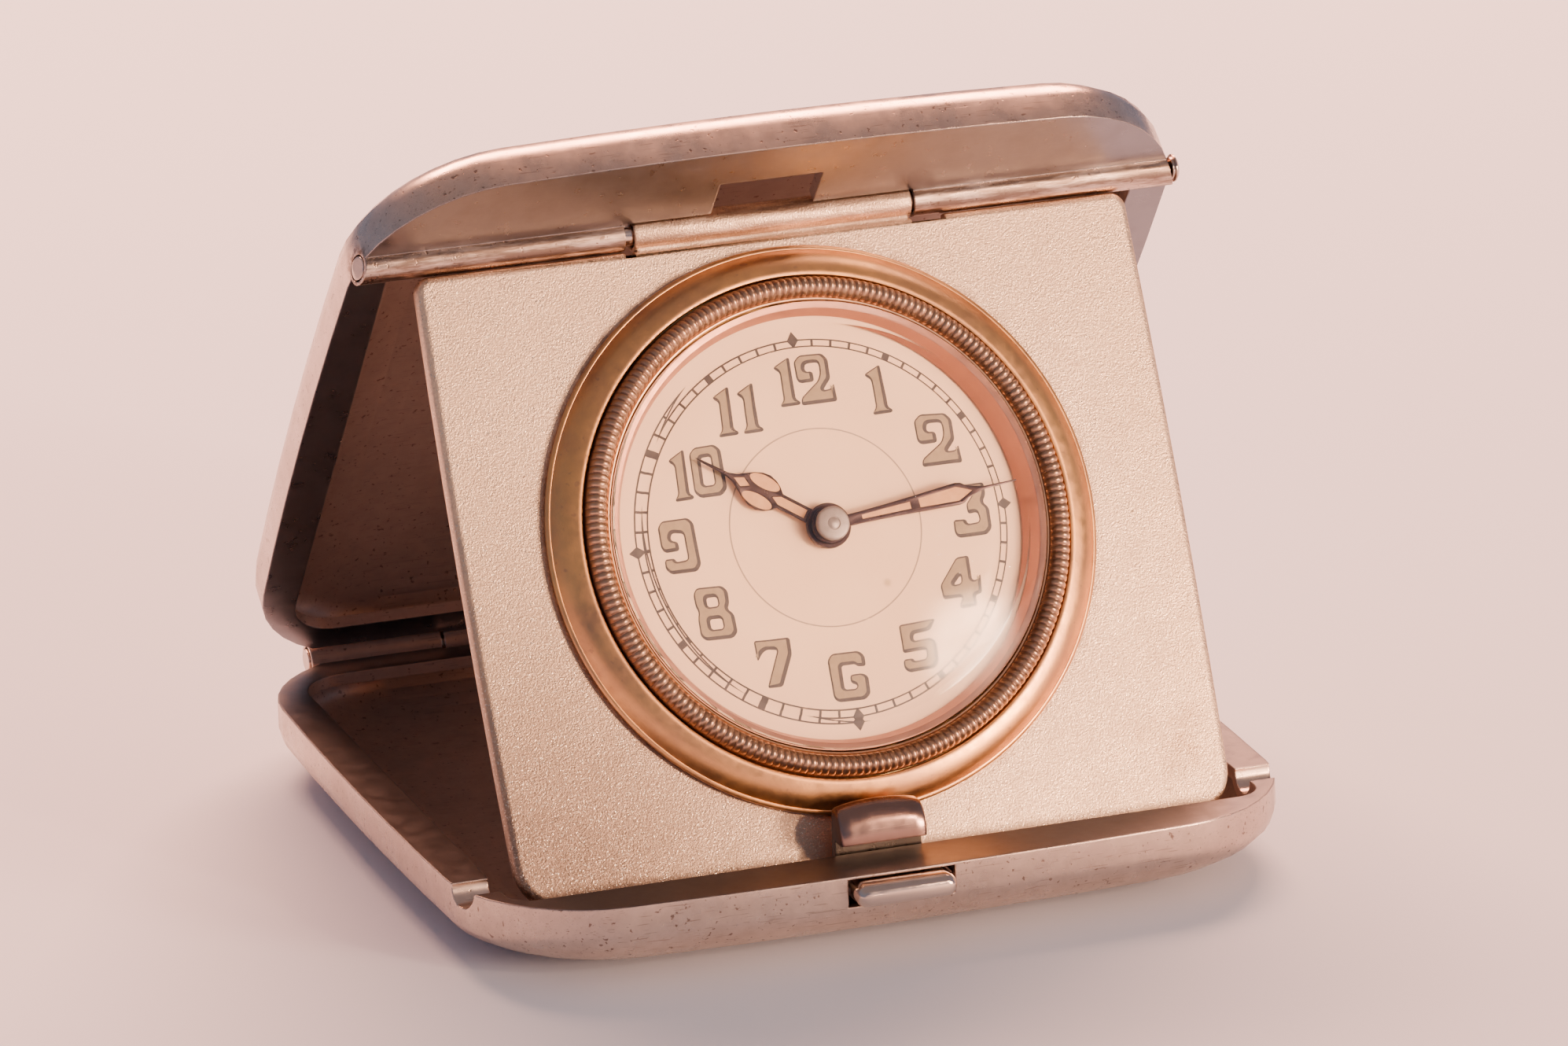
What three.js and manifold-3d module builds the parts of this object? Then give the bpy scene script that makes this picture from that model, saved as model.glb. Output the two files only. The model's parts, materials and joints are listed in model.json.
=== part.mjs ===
// Folding travel clock: two shallow silver shells joined at the back edge, and a hinged clock
// plate that swings out of the back shell and props it open as an easel.
// Millimetres, +Z up, dial towards -Y. The origin is the middle of the footprint, on the table.
import * as THREE from 'three';
import { mergeVertices } from 'three/addons/utils/BufferGeometryUtils.js';
import Module from 'manifold-3d';

const wasm = await Module();
wasm.setup();

// Pose on the table, in degrees
const openAngle = 51;
const plateSlope = 63.6;

// Clearances between pieces that are seated, and between pieces that move
const seat = 0.2;
const running = 0.1;

// Case shells
const hingeSpacing = 53;
const shellHalfWidth = 31.6;
const shellReach = 60.7;
const sideBow = 0.8;
const frontBow = 1.2;
const rearSetback = 0.15;
const cornerRadius = 10;
const cornerKeep = 0.35;
const shellDepth = 6.4;
const shellWall = 0.8;
const wallHeight = 2.1;
const shoulderWidth = 10;
const rimThickness = 1;
const openingCorner = 4;

// Hinges
const caseTubeRadius = 1.3;
const caseHingeHalf = 27;
const caseKnuckles = 5;
const plateTubeRadius = 1.25;
const plateKnuckleHalf = 10.8;
const pinRadius = 0.85;
const pinClearance = 0.15;
const knuckleGap = 0.25;
const pinHeadHeight = 0.35;
const pinHeadRadius = 1.05;
const looseKnuckleGap = 0.7;

// Clock plate
const plateWidth = 56;
const plateLength = 48.4;
const plateThickness = 1.2;
const plateTopGap = 0.05;
const plateSideGap = 1.1;
const plateEndGap = 0.5;
const plateTopCorner = 1.2;
const plateFootCorner = 3.6;
const plateSideBow = 0.3;
const plateEdgeRound = 0.5;
const plateNotchDepth = 0.45;
const plateNotchWidths = [0.7, 2.6];
const dialDrop = 23.5;
const dialOffset = -0.4;

// Latch
const baseWebSetback = 4.2;
const tongueWidth = 6.65;
const neckThickness = 0.7;
const noseHeight = 3.75;
const noseUnderside = 1.5;
const catchOverlap = 0.45;
const noseLean = 0.75;
const slotReach = 5.05;
const slotClearances = [0.35, 0.95];
const buttonWidth = 7.8;
const buttonHeight = 1.8;
const buttonDrop = 1.25;
const buttonProud = 1.6;
const buttonClearance = 0.2;
const buttonRoundness = 0.45;
const springThickness = 0.3;
const springWidth = 5;
const springLength = 19;
const latchOffset = -1.1;

// Clock front, radii from the middle of the dial, heights from the middle of the plate
const caseRadius = 18.2;
const caseLipWidth = 1.4;
const giltRingWidth = 1.5;
const giltRingHeight = 1.7;
const giltOuterWall = 0.6;
const giltInnerWall = 1;
const bezelFlange = 0.3;
const bezelWidth = 1.8;
const bezelFoot = 1.6;
const bezelWall = 1.1;
const bezelLip = 0.25;
const bezelTop = 3.7;
const bezelStep = 0.3;
const crystalSeat = 0.2;
const crystalTop = 5.1;
const crystalDome = 0.6;
const crystalThickness = 0.9;
const crystalBevel = 1.9;
const crystalFoot = 2.6;
const crystalEdge = 0.75;
const dialMargin = 0.4;
const dialBack = 0.9;
const dialThickness = 0.4;
const dialHole = 1.5;
const rehautWidth = 1.1;
const rehautTopWidth = 0.5;
const handThickness = 0.22;
const hourHandHeight = 1.7;
const hourHandAngle = 304;
const hourHandBoss = 1.9;
const hourHandLength = 10.7;
const hourHandSide = [
  [0.55, 0.5], [0.42, 3.53], [1.35, 4.92], [1.5, 5.99], [1.05, 7.28], [0.35, 8.13], [0.22, 9.1],
];
const minuteHandHeight = 2.25;
const minuteHandAngle = 84;
const minuteHandBoss = 1.5;
const minuteHandLength = 14.7;
const minuteHandSide = [[0.35, 0.5], [0.55, 8.53], [0.85, 10.29], [0.25, 12.05], [0.14, 13.23]];
const capRadius = 1.35;
const capFlatRadius = 0.8;
const capEdge = 0.2;
const capHeight = 0.54;

// Movement, heights from the middle of the plate, negative towards the back
const caseWall = 0.6;
const caseStep = 0.8;
const caseBack = -4.7;
const coverBack = -5.2;
const coverBevel = 0.6;
const coverEdge = 0.2;
const coverLip = 0.5;
const coverLipHeight = 0.4;
const mainPlateFront = -0.3;
const mainPlateBack = -1.2;
const mainPlateRim = 2.7;
const bridgeFront = -3.2;
const bridgeBack = -3.9;
const bridgeMargin = 1.3;
const wellMargin = 0.9;
const wayMargin = 1;
const ratchetBack = -4.35;
const pivotRadius = 0.22;
const pivotHole = 0.4;
const arborRadius = 0.45;
const studRadius = 0.31;
const pillarRadius = 1.1;
const pillarInset = 1.9;
const pillarDirections = [159.7, 216.9, 102.3, -17];
const screwShankRadius = 0.55;
const screwHoleRadius = 0.75;
const screwHeadRadius = 1.3;
const screwHeadHeight = 0.3;
const crownScrewShankRadius = 0.5;
const crownScrewHeadRadius = 1;
const crownScrewLength = 1;
const stemRadius = 0.45;
const stemHeight = -2.9;
const stemPinionLength = 1.4;
const stemPinionLap = 1;
const stemEnd = 0.5;
const crownRadius = 1.7;
const crownLength = 2;
const crownCap = 0.3;
const crownCapInset = 0.2;
const crownGap = 0.4;
const balanceRim = 0.5;
const balanceBack = -2.95;
const balanceFront = -2.6;
const balanceArmHalf = 0.3;
const balanceArmInset = 0.1;
const rollerRadius = 0.6;
const rollerBack = -2.1;
const rollerThickness = 0.2;
const hairspringTurns = 5;
const hairspringInner = 0.6;
const hairspringOuter = 3;
const hairspringRibbon = 0.12;
const hairspringBack = -3.15;
const cockFootGap = 1.35;
const cockHalfWidth = 1.2;
const cockPostRadius = 0.85;
const palletCockReach = 4.2;
const palletCockHalfWidth = 0.9;
const palletCockBack = -2.4;
const palletCockThickness = 0.3;
const palletPostRadius = 0.8;
const leverHalfWidth = 0.22;
const palletSwing = 35;
const palletReach = 0.5;
const hornGap = 1.1;
const drumInset = 0.45;
const drumWall = 0.35;
const drumPlate = 0.25;
const drumBore = 0.9;
const drumFloor = -1.45;
const drumTop = -2.45;
const barrelToothHeight = 0.35;
const barrelLidThickness = 0.14;
const mainspringTurns = 6;
const mainspringInner = 1.25;
const mainspringMargin = 0.75;
const mainspringRibbon = 0.2;
const barrelArborRadius = 0.7;
const ratchetBore = 0.8;
const crownWheelBore = 0.7;
const clickPlace = [-0.9, 3.1];
const clickDirection = 204;
const clickArmHalf = 0.35;
const clickBossRadius = 0.9;
const clickStudRadius = 0.5;
const motionGap = 0.15;
const cannonPipe = 0.8;
const hourPipe = 1.3;
const cannonTeethHeight = 0.4;
const minuteWheelHeight = 0.25;
const hourWheelHeight = 0.25;

// Gear train: teeth, tip radii and the direction from each arbor to the next, in degrees
const barrelTip = 6.85;
const centrePinionTip = 1.1;
const centreWheelTip = 4.45;
const thirdPinionTip = 0.55;
const thirdWheelTip = 3.85;
const fourthPinionTip = 0.52;
const fourthWheelTip = 3.25;
const escapePinionTip = 0.4;
const escapeWheelTip = 2.15;
const palletDistance = 3;
const balanceDistance = 4;
const balanceRadius = 4.3;
const ratchetTip = 4.15;
const crownWheelTip = 3;
const barrelDirection = 49.8;
const thirdDirection = 200;
const fourthDirection = -70;
const escapeDirection = -10;
const palletDirection = -10;
const balanceDirection = 10;
const cockDirection = -100;
const minuteWheelTip = 3.3;
const minutePinionTip = 0.85;
const cannonTip = 1.15;
const hourWheelTip = 3.6;
const minuteWheelDirection = 150;
const wheelToothDepth = 0.28;
const pinionToothDepth = 0.17;
const largeToothDepth = 0.3;
const escapeToothDepth = 0.7;
const centreWheelTeeth = 64;
const centrePinionTeeth = 12;
const trainWheelTeeth = 60;
const trainPinionTeeth = 8;
const escapeTeeth = 15;
const escapePinionTeeth = 6;
const barrelTeeth = 72;
const ratchetTeeth = 48;
const crownWheelTeeth = 34;
const stemPinionTeeth = 16;
const stemPinionTip = 1;
const cannonTeeth = 12;
const minuteWheelTeeth = 36;
const minutePinionTeeth = 10;
const hourWheelTeeth = 40;
const crownRidges = 24;
const crownRidgeDepth = 0.15;
const centreWheelFront = -2.8;
const centreWheelBack = -3;
const pinionFront = -1.75;
const pinionBack = -2.6;
const thirdWheelFront = -1.5;
const thirdWheelBack = -1.75;
const fourthWheelFront = -2.3;
const fourthWheelBack = -2.5;
const arborShortfall = 0.3;

// Facets
const ringSteps = 56;
const wheelSteps = 40;
const turnSteps = 12;
const tubeSteps = 18;
const pinSteps = 12;
const cornerSteps = 9;
const sideSteps = 6;
const shoulderSteps = 7;
const crownSteps = 3;
const weldTolerance = 1e-4;
const through = 1;

const caseLipRadius = caseRadius + caseLipWidth;
const giltRingRadius = caseLipRadius + giltRingWidth;
const bezelRadius = caseRadius + bezelFlange;
const bezelMouth = bezelRadius - bezelWidth;
const crystalRadius = bezelMouth - crystalSeat;
const crystalFlatRadius = crystalRadius - crystalBevel;
const dialRadius = bezelMouth - dialMargin;
const innerRadius = caseRadius - caseWall;
const mainPlateRadius = innerRadius - 1.5 * seat;
const mainPlateRimInner = mainPlateRadius - mainPlateRim;
const bridgeRadius = innerRadius - bridgeMargin;

const degrees = Math.PI / 180;

const silver = new THREE.MeshStandardMaterial({ color: 0xd9c6bb, roughness: 0.34, metalness: 1 });
const polishedSilver = new THREE.MeshStandardMaterial({ color: 0xd6c3b8, roughness: 0.16, metalness: 1 });
const gilt = new THREE.MeshStandardMaterial({ color: 0xb9793f, roughness: 0.3, metalness: 1 });
const copper = new THREE.MeshStandardMaterial({ color: 0xb0745c, roughness: 0.45, metalness: 1 });
const brass = new THREE.MeshStandardMaterial({ color: 0xc8a25a, roughness: 0.35, metalness: 1 });
const steel = new THREE.MeshStandardMaterial({ color: 0x9a9a9c, roughness: 0.3, metalness: 1 });
const bluedSteel = new THREE.MeshStandardMaterial({ color: 0x2b2a38, roughness: 0.3, metalness: 1 });
const dialPaint = new THREE.MeshStandardMaterial({ color: 0xe8d2bd, roughness: 0.6, metalness: 0.1 });
const glass = new THREE.MeshStandardMaterial({
  color: 0xf4efe8, roughness: 0.05, metalness: 0, transparent: true, opacity: 0.3,
});

// Closed meshes and booleans

function weld(geometry) {
  const bare = new THREE.BufferGeometry();
  bare.setAttribute('position', geometry.getAttribute('position').clone());
  if (geometry.index) bare.setIndex(geometry.index.clone());
  const merged = mergeVertices(bare, weldTolerance);
  const corners = merged.index.array;
  const kept = [];
  for (let i = 0; i < corners.length; i += 3) {
    const [a, b, c] = [corners[i], corners[i + 1], corners[i + 2]];
    if (a !== b && b !== c && c !== a) kept.push(a, b, c);
  }
  const points = merged.getAttribute('position');
  if (enclosedVolume(points, kept) < 0) {
    for (let i = 0; i < kept.length; i += 3) {
      [kept[i + 1], kept[i + 2]] = [kept[i + 2], kept[i + 1]];
    }
  }
  return { points: Float32Array.from(points.array), corners: Uint32Array.from(kept) };
}

function enclosedVolume(points, corners) {
  const a = new THREE.Vector3();
  const b = new THREE.Vector3();
  const c = new THREE.Vector3();
  let sixfold = 0;
  for (let i = 0; i < corners.length; i += 3) {
    a.fromBufferAttribute(points, corners[i]);
    b.fromBufferAttribute(points, corners[i + 1]);
    c.fromBufferAttribute(points, corners[i + 2]);
    sixfold += a.dot(b.cross(c));
  }
  return sixfold / 6;
}

function solid(geometry) {
  const { points, corners } = weld(geometry);
  return new wasm.Manifold(new wasm.Mesh({ numProp: 3, vertProperties: points, triVerts: corners }));
}

function join(...geometries) {
  return geometries.map(solid).reduce((whole, piece) => whole.add(piece));
}

function cut(body, ...geometries) {
  return geometries.map(solid).reduce((whole, piece) => whole.subtract(piece), body);
}

function meshGeometry(body) {
  const mesh = body.getMesh();
  const geometry = new THREE.BufferGeometry();
  geometry.setAttribute('position', new THREE.BufferAttribute(Float32Array.from(mesh.vertProperties), 3));
  geometry.setIndex(Array.from(mesh.triVerts));
  geometry.computeVertexNormals();
  return geometry;
}

function piece(name, shape, material) {
  const body = shape.isBufferGeometry ? solid(shape) : shape;
  const mesh = new THREE.Mesh(meshGeometry(body), material);
  mesh.name = name;
  return mesh;
}

// Basic shapes

function block(x0, x1, y0, y1, z0, z1) {
  const geometry = new THREE.BoxGeometry(x1 - x0, y1 - y0, z1 - z0);
  return geometry.translate((x0 + x1) / 2, (y0 + y1) / 2, (z0 + z1) / 2);
}

function rodAlongX(radius, x0, x1, y, z, steps = tubeSteps) {
  const geometry = new THREE.CylinderGeometry(radius, radius, x1 - x0, steps);
  return geometry.rotateZ(Math.PI / 2).translate((x0 + x1) / 2, y, z);
}

function rodAlongZ(radius, x, y, z0, z1, steps = pinSteps) {
  const geometry = new THREE.CylinderGeometry(radius, radius, z1 - z0, steps);
  return geometry.rotateX(Math.PI / 2).translate(x, y, (z0 + z1) / 2);
}

// A profile of [radius, height] points turned round the Z axis
function turned(profile, steps = ringSteps) {
  const onAxis = profile[0][0] === 0;
  const closed = onAxis ? profile : [...profile, profile[0]];
  const points = closed.map(([radius, height]) => new THREE.Vector2(radius, height));
  return new THREE.LatheGeometry(points, steps).rotateX(Math.PI / 2);
}

// Profile points on a quarter of an ellipse, between two directions counted in quarter turns
function quarterArc([radius, height], [reach, rise], from, to, steps = crownSteps) {
  const points = [];
  for (let i = 0; i <= steps; i += 1) {
    const angle = (Math.PI / 2) * (from + ((to - from) * i) / steps);
    points.push([radius + reach * Math.cos(angle), height + rise * Math.sin(angle)]);
  }
  return points;
}

function extruded(points, z0, z1) {
  const shape = new THREE.Shape(points.map(([x, y]) => new THREE.Vector2(x, y)));
  return new THREE.ExtrudeGeometry(shape, { depth: z1 - z0, bevelEnabled: false }).translate(0, 0, z0);
}

// A bar with round ends between two points
function bar(from, to, radius, z0, z1, steps = pinSteps) {
  const heading = Math.atan2(to[1] - from[1], to[0] - from[0]);
  const points = [];
  for (const [end, start] of [[to, -Math.PI / 2], [from, Math.PI / 2]]) {
    for (let i = 0; i <= steps / 2; i += 1) {
      const angle = heading + start + (Math.PI * i) / (steps / 2);
      points.push([end[0] + radius * Math.cos(angle), end[1] + radius * Math.sin(angle)]);
    }
  }
  return extruded(points, z0, z1);
}

// Rings of [x, y, z] points, joined into a closed skin with flat ends
function loft(rings) {
  const count = rings[0].length;
  const positions = rings.flat(2);
  const index = [];
  for (let r = 0; r + 1 < rings.length; r += 1) {
    for (let i = 0; i < count; i += 1) {
      const j = (i + 1) % count;
      const [a, b, c, d] = [r * count + i, r * count + j, (r + 1) * count + j, (r + 1) * count + i];
      index.push(a, b, c, a, c, d);
    }
  }
  for (const [ring, flip] of [[0, true], [rings.length - 1, false]]) {
    const centre = positions.length / 3;
    const points = rings[ring];
    for (let axis = 0; axis < 3; axis += 1) {
      positions.push(points.reduce((sum, point) => sum + point[axis], 0) / count);
    }
    for (let i = 0; i < count; i += 1) {
      const edge = [ring * count + i, ring * count + ((i + 1) % count)];
      if (flip) edge.reverse();
      index.push(...edge, centre);
    }
  }
  const geometry = new THREE.BufferGeometry();
  geometry.setAttribute('position', new THREE.Float32BufferAttribute(positions, 3));
  geometry.setIndex(index);
  return geometry;
}

// A rounded rectangle, anticlockwise, with its straight sides divided
function roundedRectangle(x0, x1, y0, y1, radii, divisions = 1) {
  const corners = [
    [x1, y0, -1, radii[0]],
    [x1, y1, 0, radii[1]],
    [x0, y1, 1, radii[2]],
    [x0, y0, 2, radii[3]],
  ];
  const points = [];
  for (const [x, y, quarter, radius] of corners) {
    const centreX = x === x1 ? x - radius : x + radius;
    const centreY = y === y1 ? y - radius : y + radius;
    for (let i = 0; i <= cornerSteps; i += 1) {
      const angle = (Math.PI / 2) * (quarter + i / cornerSteps);
      points.push([centreX + radius * Math.cos(angle), centreY + radius * Math.sin(angle)]);
    }
  }
  const perCorner = cornerSteps + 1;
  const divided = [];
  points.forEach((point, i) => {
    divided.push(point);
    if ((i + 1) % perCorner !== 0) return;
    const next = points[(i + 1) % points.length];
    for (let k = 1; k < divisions; k += 1) {
      const share = k / divisions;
      divided.push([point[0] + (next[0] - point[0]) * share, point[1] + (next[1] - point[1]) * share]);
    }
  });
  return divided;
}

function atHeight(points, z) {
  return points.map(([x, y]) => [x, y, z]);
}

function toothedDisc(teeth, tip, depth, z0, z1, bore = 0) {
  const points = [];
  for (let i = 0; i < teeth; i += 1) {
    for (const [share, radius] of [[0, tip - depth], [0.5, tip]]) {
      const angle = (2 * Math.PI * (i + share)) / teeth;
      points.push([radius * Math.cos(angle), radius * Math.sin(angle)]);
    }
  }
  const disc = solid(extruded(points, z0, z1));
  return bore > 0 ? cut(disc, rodAlongZ(bore, 0, 0, z0 - through, z1 + through, tubeSteps)) : disc;
}

function polar(centre, distance, direction) {
  const angle = direction * degrees;
  return [centre[0] + distance * Math.cos(angle), centre[1] + distance * Math.sin(angle)];
}

// Case shells, drawn open side up with the case hinge along X at y = 0, z = 0

const boreRadius = pinRadius + pinClearance;
const openingHalfWidth = plateWidth / 2 + plateSideGap;
const openingRear = hingeSpacing - plateLength - plateEndGap;
const baseWebInner = hingeSpacing + baseWebSetback;
const coverWebInner = hingeSpacing + plateTubeRadius + pinClearance;
const slotFront = hingeSpacing + slotReach;
const knuckleLength = (2 * caseHingeHalf) / caseKnuckles;
const pastSide = shellHalfWidth + sideBow + through;

function shellOutline(inset) {
  const halfWidth = shellHalfWidth - inset;
  const rear = -(rearSetback + inset);
  const front = -(shellReach - inset);
  const radius = cornerRadius - inset * cornerKeep;
  const radii = [radius, radius, radius, radius];
  const square = roundedRectangle(-halfWidth, halfWidth, front, rear, radii, sideSteps);
  const middle = (front + rear) / 2;
  const halfDepth = (rear - front) / 2;
  return square.map(([x, y]) => {
    const along = (y - middle) / halfDepth;
    const across = x / halfWidth;
    const bowed = x + sideBow * (1 - along * along) * across;
    const pushed = along < 0 ? y + frontBow * (1 - across * across) * along : y;
    return [bowed, pushed];
  });
}

function shellSkin(inset, depth, top) {
  const rings = [];
  for (let i = 0; i <= shoulderSteps; i += 1) {
    const angle = (Math.PI / 2) * (i / shoulderSteps);
    const drawnIn = inset + (shoulderWidth - inset) * (1 - Math.sin(angle));
    rings.push(atHeight(shellOutline(drawnIn), -wallHeight - (depth - wallHeight) * Math.cos(angle)));
  }
  rings.push(atHeight(shellOutline(inset), top));
  return loft(rings);
}

function openShell(openings) {
  const outer = solid(shellSkin(0, shellDepth, 0));
  return cut(outer, shellSkin(shellWall, shellDepth - shellWall, -rimThickness), ...openings);
}

function openingPrism(halfWidth, rear, front, corner) {
  const square = Math.min(corner, (front - rear) / 2);
  const radii = [square / 2, square, square, square / 2];
  const outline = roundedRectangle(-halfWidth, halfWidth, -front, -rear, radii);
  return extruded(outline, -rimThickness - through, through);
}

function knuckleSpans(parity) {
  const spans = [];
  for (let i = 0; i < caseKnuckles; i += 1) {
    if (i % 2 !== parity) continue;
    const start = -caseHingeHalf + i * knuckleLength;
    spans.push([start, start + knuckleLength]);
  }
  return spans;
}

function withCaseKnuckles(shell, parity) {
  const pockets = knuckleSpans(1 - parity).map(([x0, x1]) => (
    rodAlongX(caseTubeRadius + knuckleGap, x0 - knuckleGap / 2, x1 + knuckleGap / 2, 0, 0)
  ));
  const tubes = knuckleSpans(parity).map(([x0, x1]) => (
    rodAlongX(caseTubeRadius, x0 + knuckleGap / 2, x1 - knuckleGap / 2, 0, 0)
  ));
  const bore = rodAlongX(boreRadius, -caseHingeHalf - through, caseHingeHalf + through, 0, 0);
  return cut(cut(shell, ...pockets).add(join(...tubes)), bore);
}

// The half-round seat in the base rim that the plate hinge drops into when the case is shut
function tubeSeats(shell) {
  const seatRadius = plateTubeRadius + seat;
  const outer = solid(shellSkin(0, shellDepth, 0));
  let seated = shell;
  for (const side of [-1, 1]) {
    const [x0, x1] = [side * openingHalfWidth, side * shellHalfWidth].sort((a, b) => a - b);
    const boss = solid(rodAlongX(seatRadius + shellWall, x0, x1, -hingeSpacing, 0));
    seated = seated.add(boss.intersect(outer));
  }
  return cut(seated, rodAlongX(seatRadius, -pastSide, pastSide, -hingeSpacing, 0));
}

function buttonOutline(inset) {
  const halfWidth = buttonWidth / 2 - inset;
  const [low, high] = [-buttonDrop - buttonHeight / 2 + inset, -buttonDrop + buttonHeight / 2 - inset];
  const corner = Math.max(buttonHeight * buttonRoundness - inset, springThickness);
  return roundedRectangle(-halfWidth, halfWidth, low, high, [corner, corner, corner, corner]);
}

const shellFront = shellReach + frontBow;

function baseShell() {
  const opening = openingPrism(openingHalfWidth, openingRear, baseWebInner, openingCorner);
  const shell = tubeSeats(withCaseKnuckles(openShell([opening]), 0));
  const slotHalf = buttonWidth / 2 + buttonClearance;
  const slotLow = -buttonDrop - buttonHeight / 2 - buttonClearance;
  const slotHigh = -buttonDrop + buttonHeight / 2 + buttonClearance / 2;
  const slotBack = -(shellFront - shellWall) + shellWall + rimThickness / 2;
  const slotEnds = [latchOffset - slotHalf, latchOffset + slotHalf];
  return cut(shell, block(...slotEnds, -shellFront - through, slotBack, slotLow, slotHigh));
}

// The space inside the shell's outline, also above the rim
function sideLimit() {
  return extruded(shellOutline(0), -shellDepth, plateTubeRadius + through);
}

function backShell() {
  const sides = openingPrism(openingHalfWidth, openingRear, hingeSpacing, openingCorner);
  const middleHalf = plateKnuckleHalf + knuckleGap;
  const rimLow = -rimThickness - through;
  const middle = block(-middleHalf, middleHalf, -coverWebInner, -hingeSpacing / 2, rimLow, through);
  const slotEnds = [
    -latchOffset - tongueWidth / 2 - slotClearances[1],
    -latchOffset + tongueWidth / 2 + slotClearances[0],
  ];
  const slot = block(...slotEnds, -slotFront, -hingeSpacing, rimLow, through);
  const shell = withCaseKnuckles(openShell([sides, middle, slot]), 1);
  const looseEnd = plateKnuckleHalf + looseKnuckleGap;
  const tubes = [[-pastSide, -middleHalf], [looseEnd, pastSide]].map((ends) => (
    rodAlongX(plateTubeRadius, ...ends, -hingeSpacing, 0)
  ));
  const flush = join(...tubes).intersect(solid(sideLimit()));
  return cut(shell.add(flush), rodAlongX(boreRadius, -pastSide, pastSide, -hingeSpacing, 0));
}

function caseHingePin() {
  return rodAlongX(pinRadius, -caseHingeHalf, caseHingeHalf, 0, 0, pinSteps);
}

// Its shank ends flush with the shell's side at one end and in a low dome outside it at the other
function plateHingePin() {
  const rod = solid(rodAlongX(pinRadius, -pastSide, pastSide, -hingeSpacing, 0, tubeSteps));
  const shank = rod.intersect(solid(sideLimit()));
  const domeFoot = -shank.boundingBox().min[0] + running;
  const dome = turned([
    [0, domeFoot - seat], [pinRadius, domeFoot - seat], [pinRadius, domeFoot], [pinHeadRadius, domeFoot],
    [pinHeadRadius, domeFoot + pinHeadHeight / 3], [pinRadius, domeFoot + pinHeadHeight * 0.8],
    [0, domeFoot + pinHeadHeight],
  ], tubeSteps).rotateY(-Math.PI / 2).translate(0, -hingeSpacing, 0);
  return shank.add(solid(dome));
}

// Latch, in the frame of the base shell

const neckFront = baseWebInner - pinClearance;
const neckBack = neckFront - neckThickness;
const noseFront = slotFront + catchOverlap;
const floorTop = -(shellDepth - shellWall);

function latchTongue() {
  const foot = floorTop + shellDepth / 5;
  const noseDepth = noseFront - neckBack;
  const profile = [[neckBack, foot], [neckFront, foot], [neckFront, noseUnderside], [noseFront, noseUnderside]];
  const noseSteps = 5;
  for (let i = 1; i <= noseSteps; i += 1) {
    const angle = (Math.PI / 2) * (i / noseSteps);
    const reach = neckBack + noseDepth * (1 - noseLean * (1 - Math.cos(angle)));
    profile.push([reach, noseUnderside + (noseHeight - noseUnderside) * Math.sin(angle)]);
  }
  profile.push([neckBack, noseHeight]);
  return acrossFront(profile, tongueWidth);
}

function pushButton() {
  const back = shellFront - shellWall + seat / 2;
  const face = shellFront + buttonProud;
  const crownStages = [
    [back, 0],
    [face - buttonHeight / 3, 0],
    [face - buttonHeight / 6, buttonHeight / 12],
    [face - buttonHeight / 20, buttonHeight / 5],
    [face, buttonHeight / 3],
  ];
  const rings = crownStages.map(([reach, inset]) => buttonOutline(inset).map(([x, z]) => [x, -reach, z]));
  const shankHalf = buttonWidth / 4;
  const shankTop = -rimThickness - 2 * seat;
  const shankLow = -buttonDrop - buttonHeight / 2 + seat;
  const shank = block(-shankHalf, shankHalf, -back - seat, -neckFront - seat, shankLow, shankTop);
  return join(loft(rings), shank);
}

const springBend = hingeSpacing - rimThickness;
const springTail = springBend - springLength;
const springLow = floorTop + seat / 2;
const springTip = [neckBack - seat, -wallHeight - 2 * springThickness];
const rivetRadius = 0.5;
const rivetsAt = [springTail + 3 * rivetRadius, springTail + 9 * rivetRadius];

// Along X, from a profile of [distance from the case hinge towards the front, height] points
function acrossFront(profile, width) {
  const axes = [[0, 1, 0], [0, 0, 1], [1, 0, 0]].map((axis) => new THREE.Vector3(...axis));
  const flat = extruded(profile.map(([reach, z]) => [-reach, z]), -width / 2, width / 2);
  return flat.applyMatrix4(new THREE.Matrix4().makeBasis(...axes));
}

function latchSpring() {
  const top = springLow + springThickness;
  const leaf = solid(acrossFront([
    [springTail, springLow], [springTail, top], [springBend - springThickness / 2, top],
    [springTip[0] - springThickness, springTip[1]], [springTip[0], springTip[1]], [springBend, springLow],
  ], springWidth));
  const holes = rivetsAt.map((reach) => (
    rodAlongZ(rivetRadius + pinClearance, 0, -reach, springLow - through, springLow + through)
  ));
  return cut(leaf, ...holes);
}

function springRivet(reach) {
  const foot = springLow - seat / 4;
  const head = springLow + springThickness + seat / 4;
  return join(
    rodAlongZ(rivetRadius, 0, -reach, foot, head + springThickness / 2),
    rodAlongZ(2 * rivetRadius, 0, -reach, head, head + springThickness),
  );
}

// Clock plate, drawn with the plate hinge along X at y = 0, z = 0, hanging down and facing +Z

const plateTop = plateTubeRadius + plateTopGap;
const half = plateThickness / 2;

function plateOutline(inset) {
  const corners = [plateFootCorner, plateTopCorner, plateTopCorner, plateFootCorner];
  const radii = corners.map((radius) => radius - inset);
  const halfWidth = plateWidth / 2 - plateSideBow - inset;
  const [foot, head] = [-plateLength + inset, -plateTop - inset];
  return roundedRectangle(-halfWidth, halfWidth, foot, head, radii, sideSteps).map(([x, y]) => {
    const along = (2 * y - foot - head) / (head - foot);
    return [x + plateSideBow * (1 - along * along) * (x / halfWidth), y];
  });
}

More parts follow.
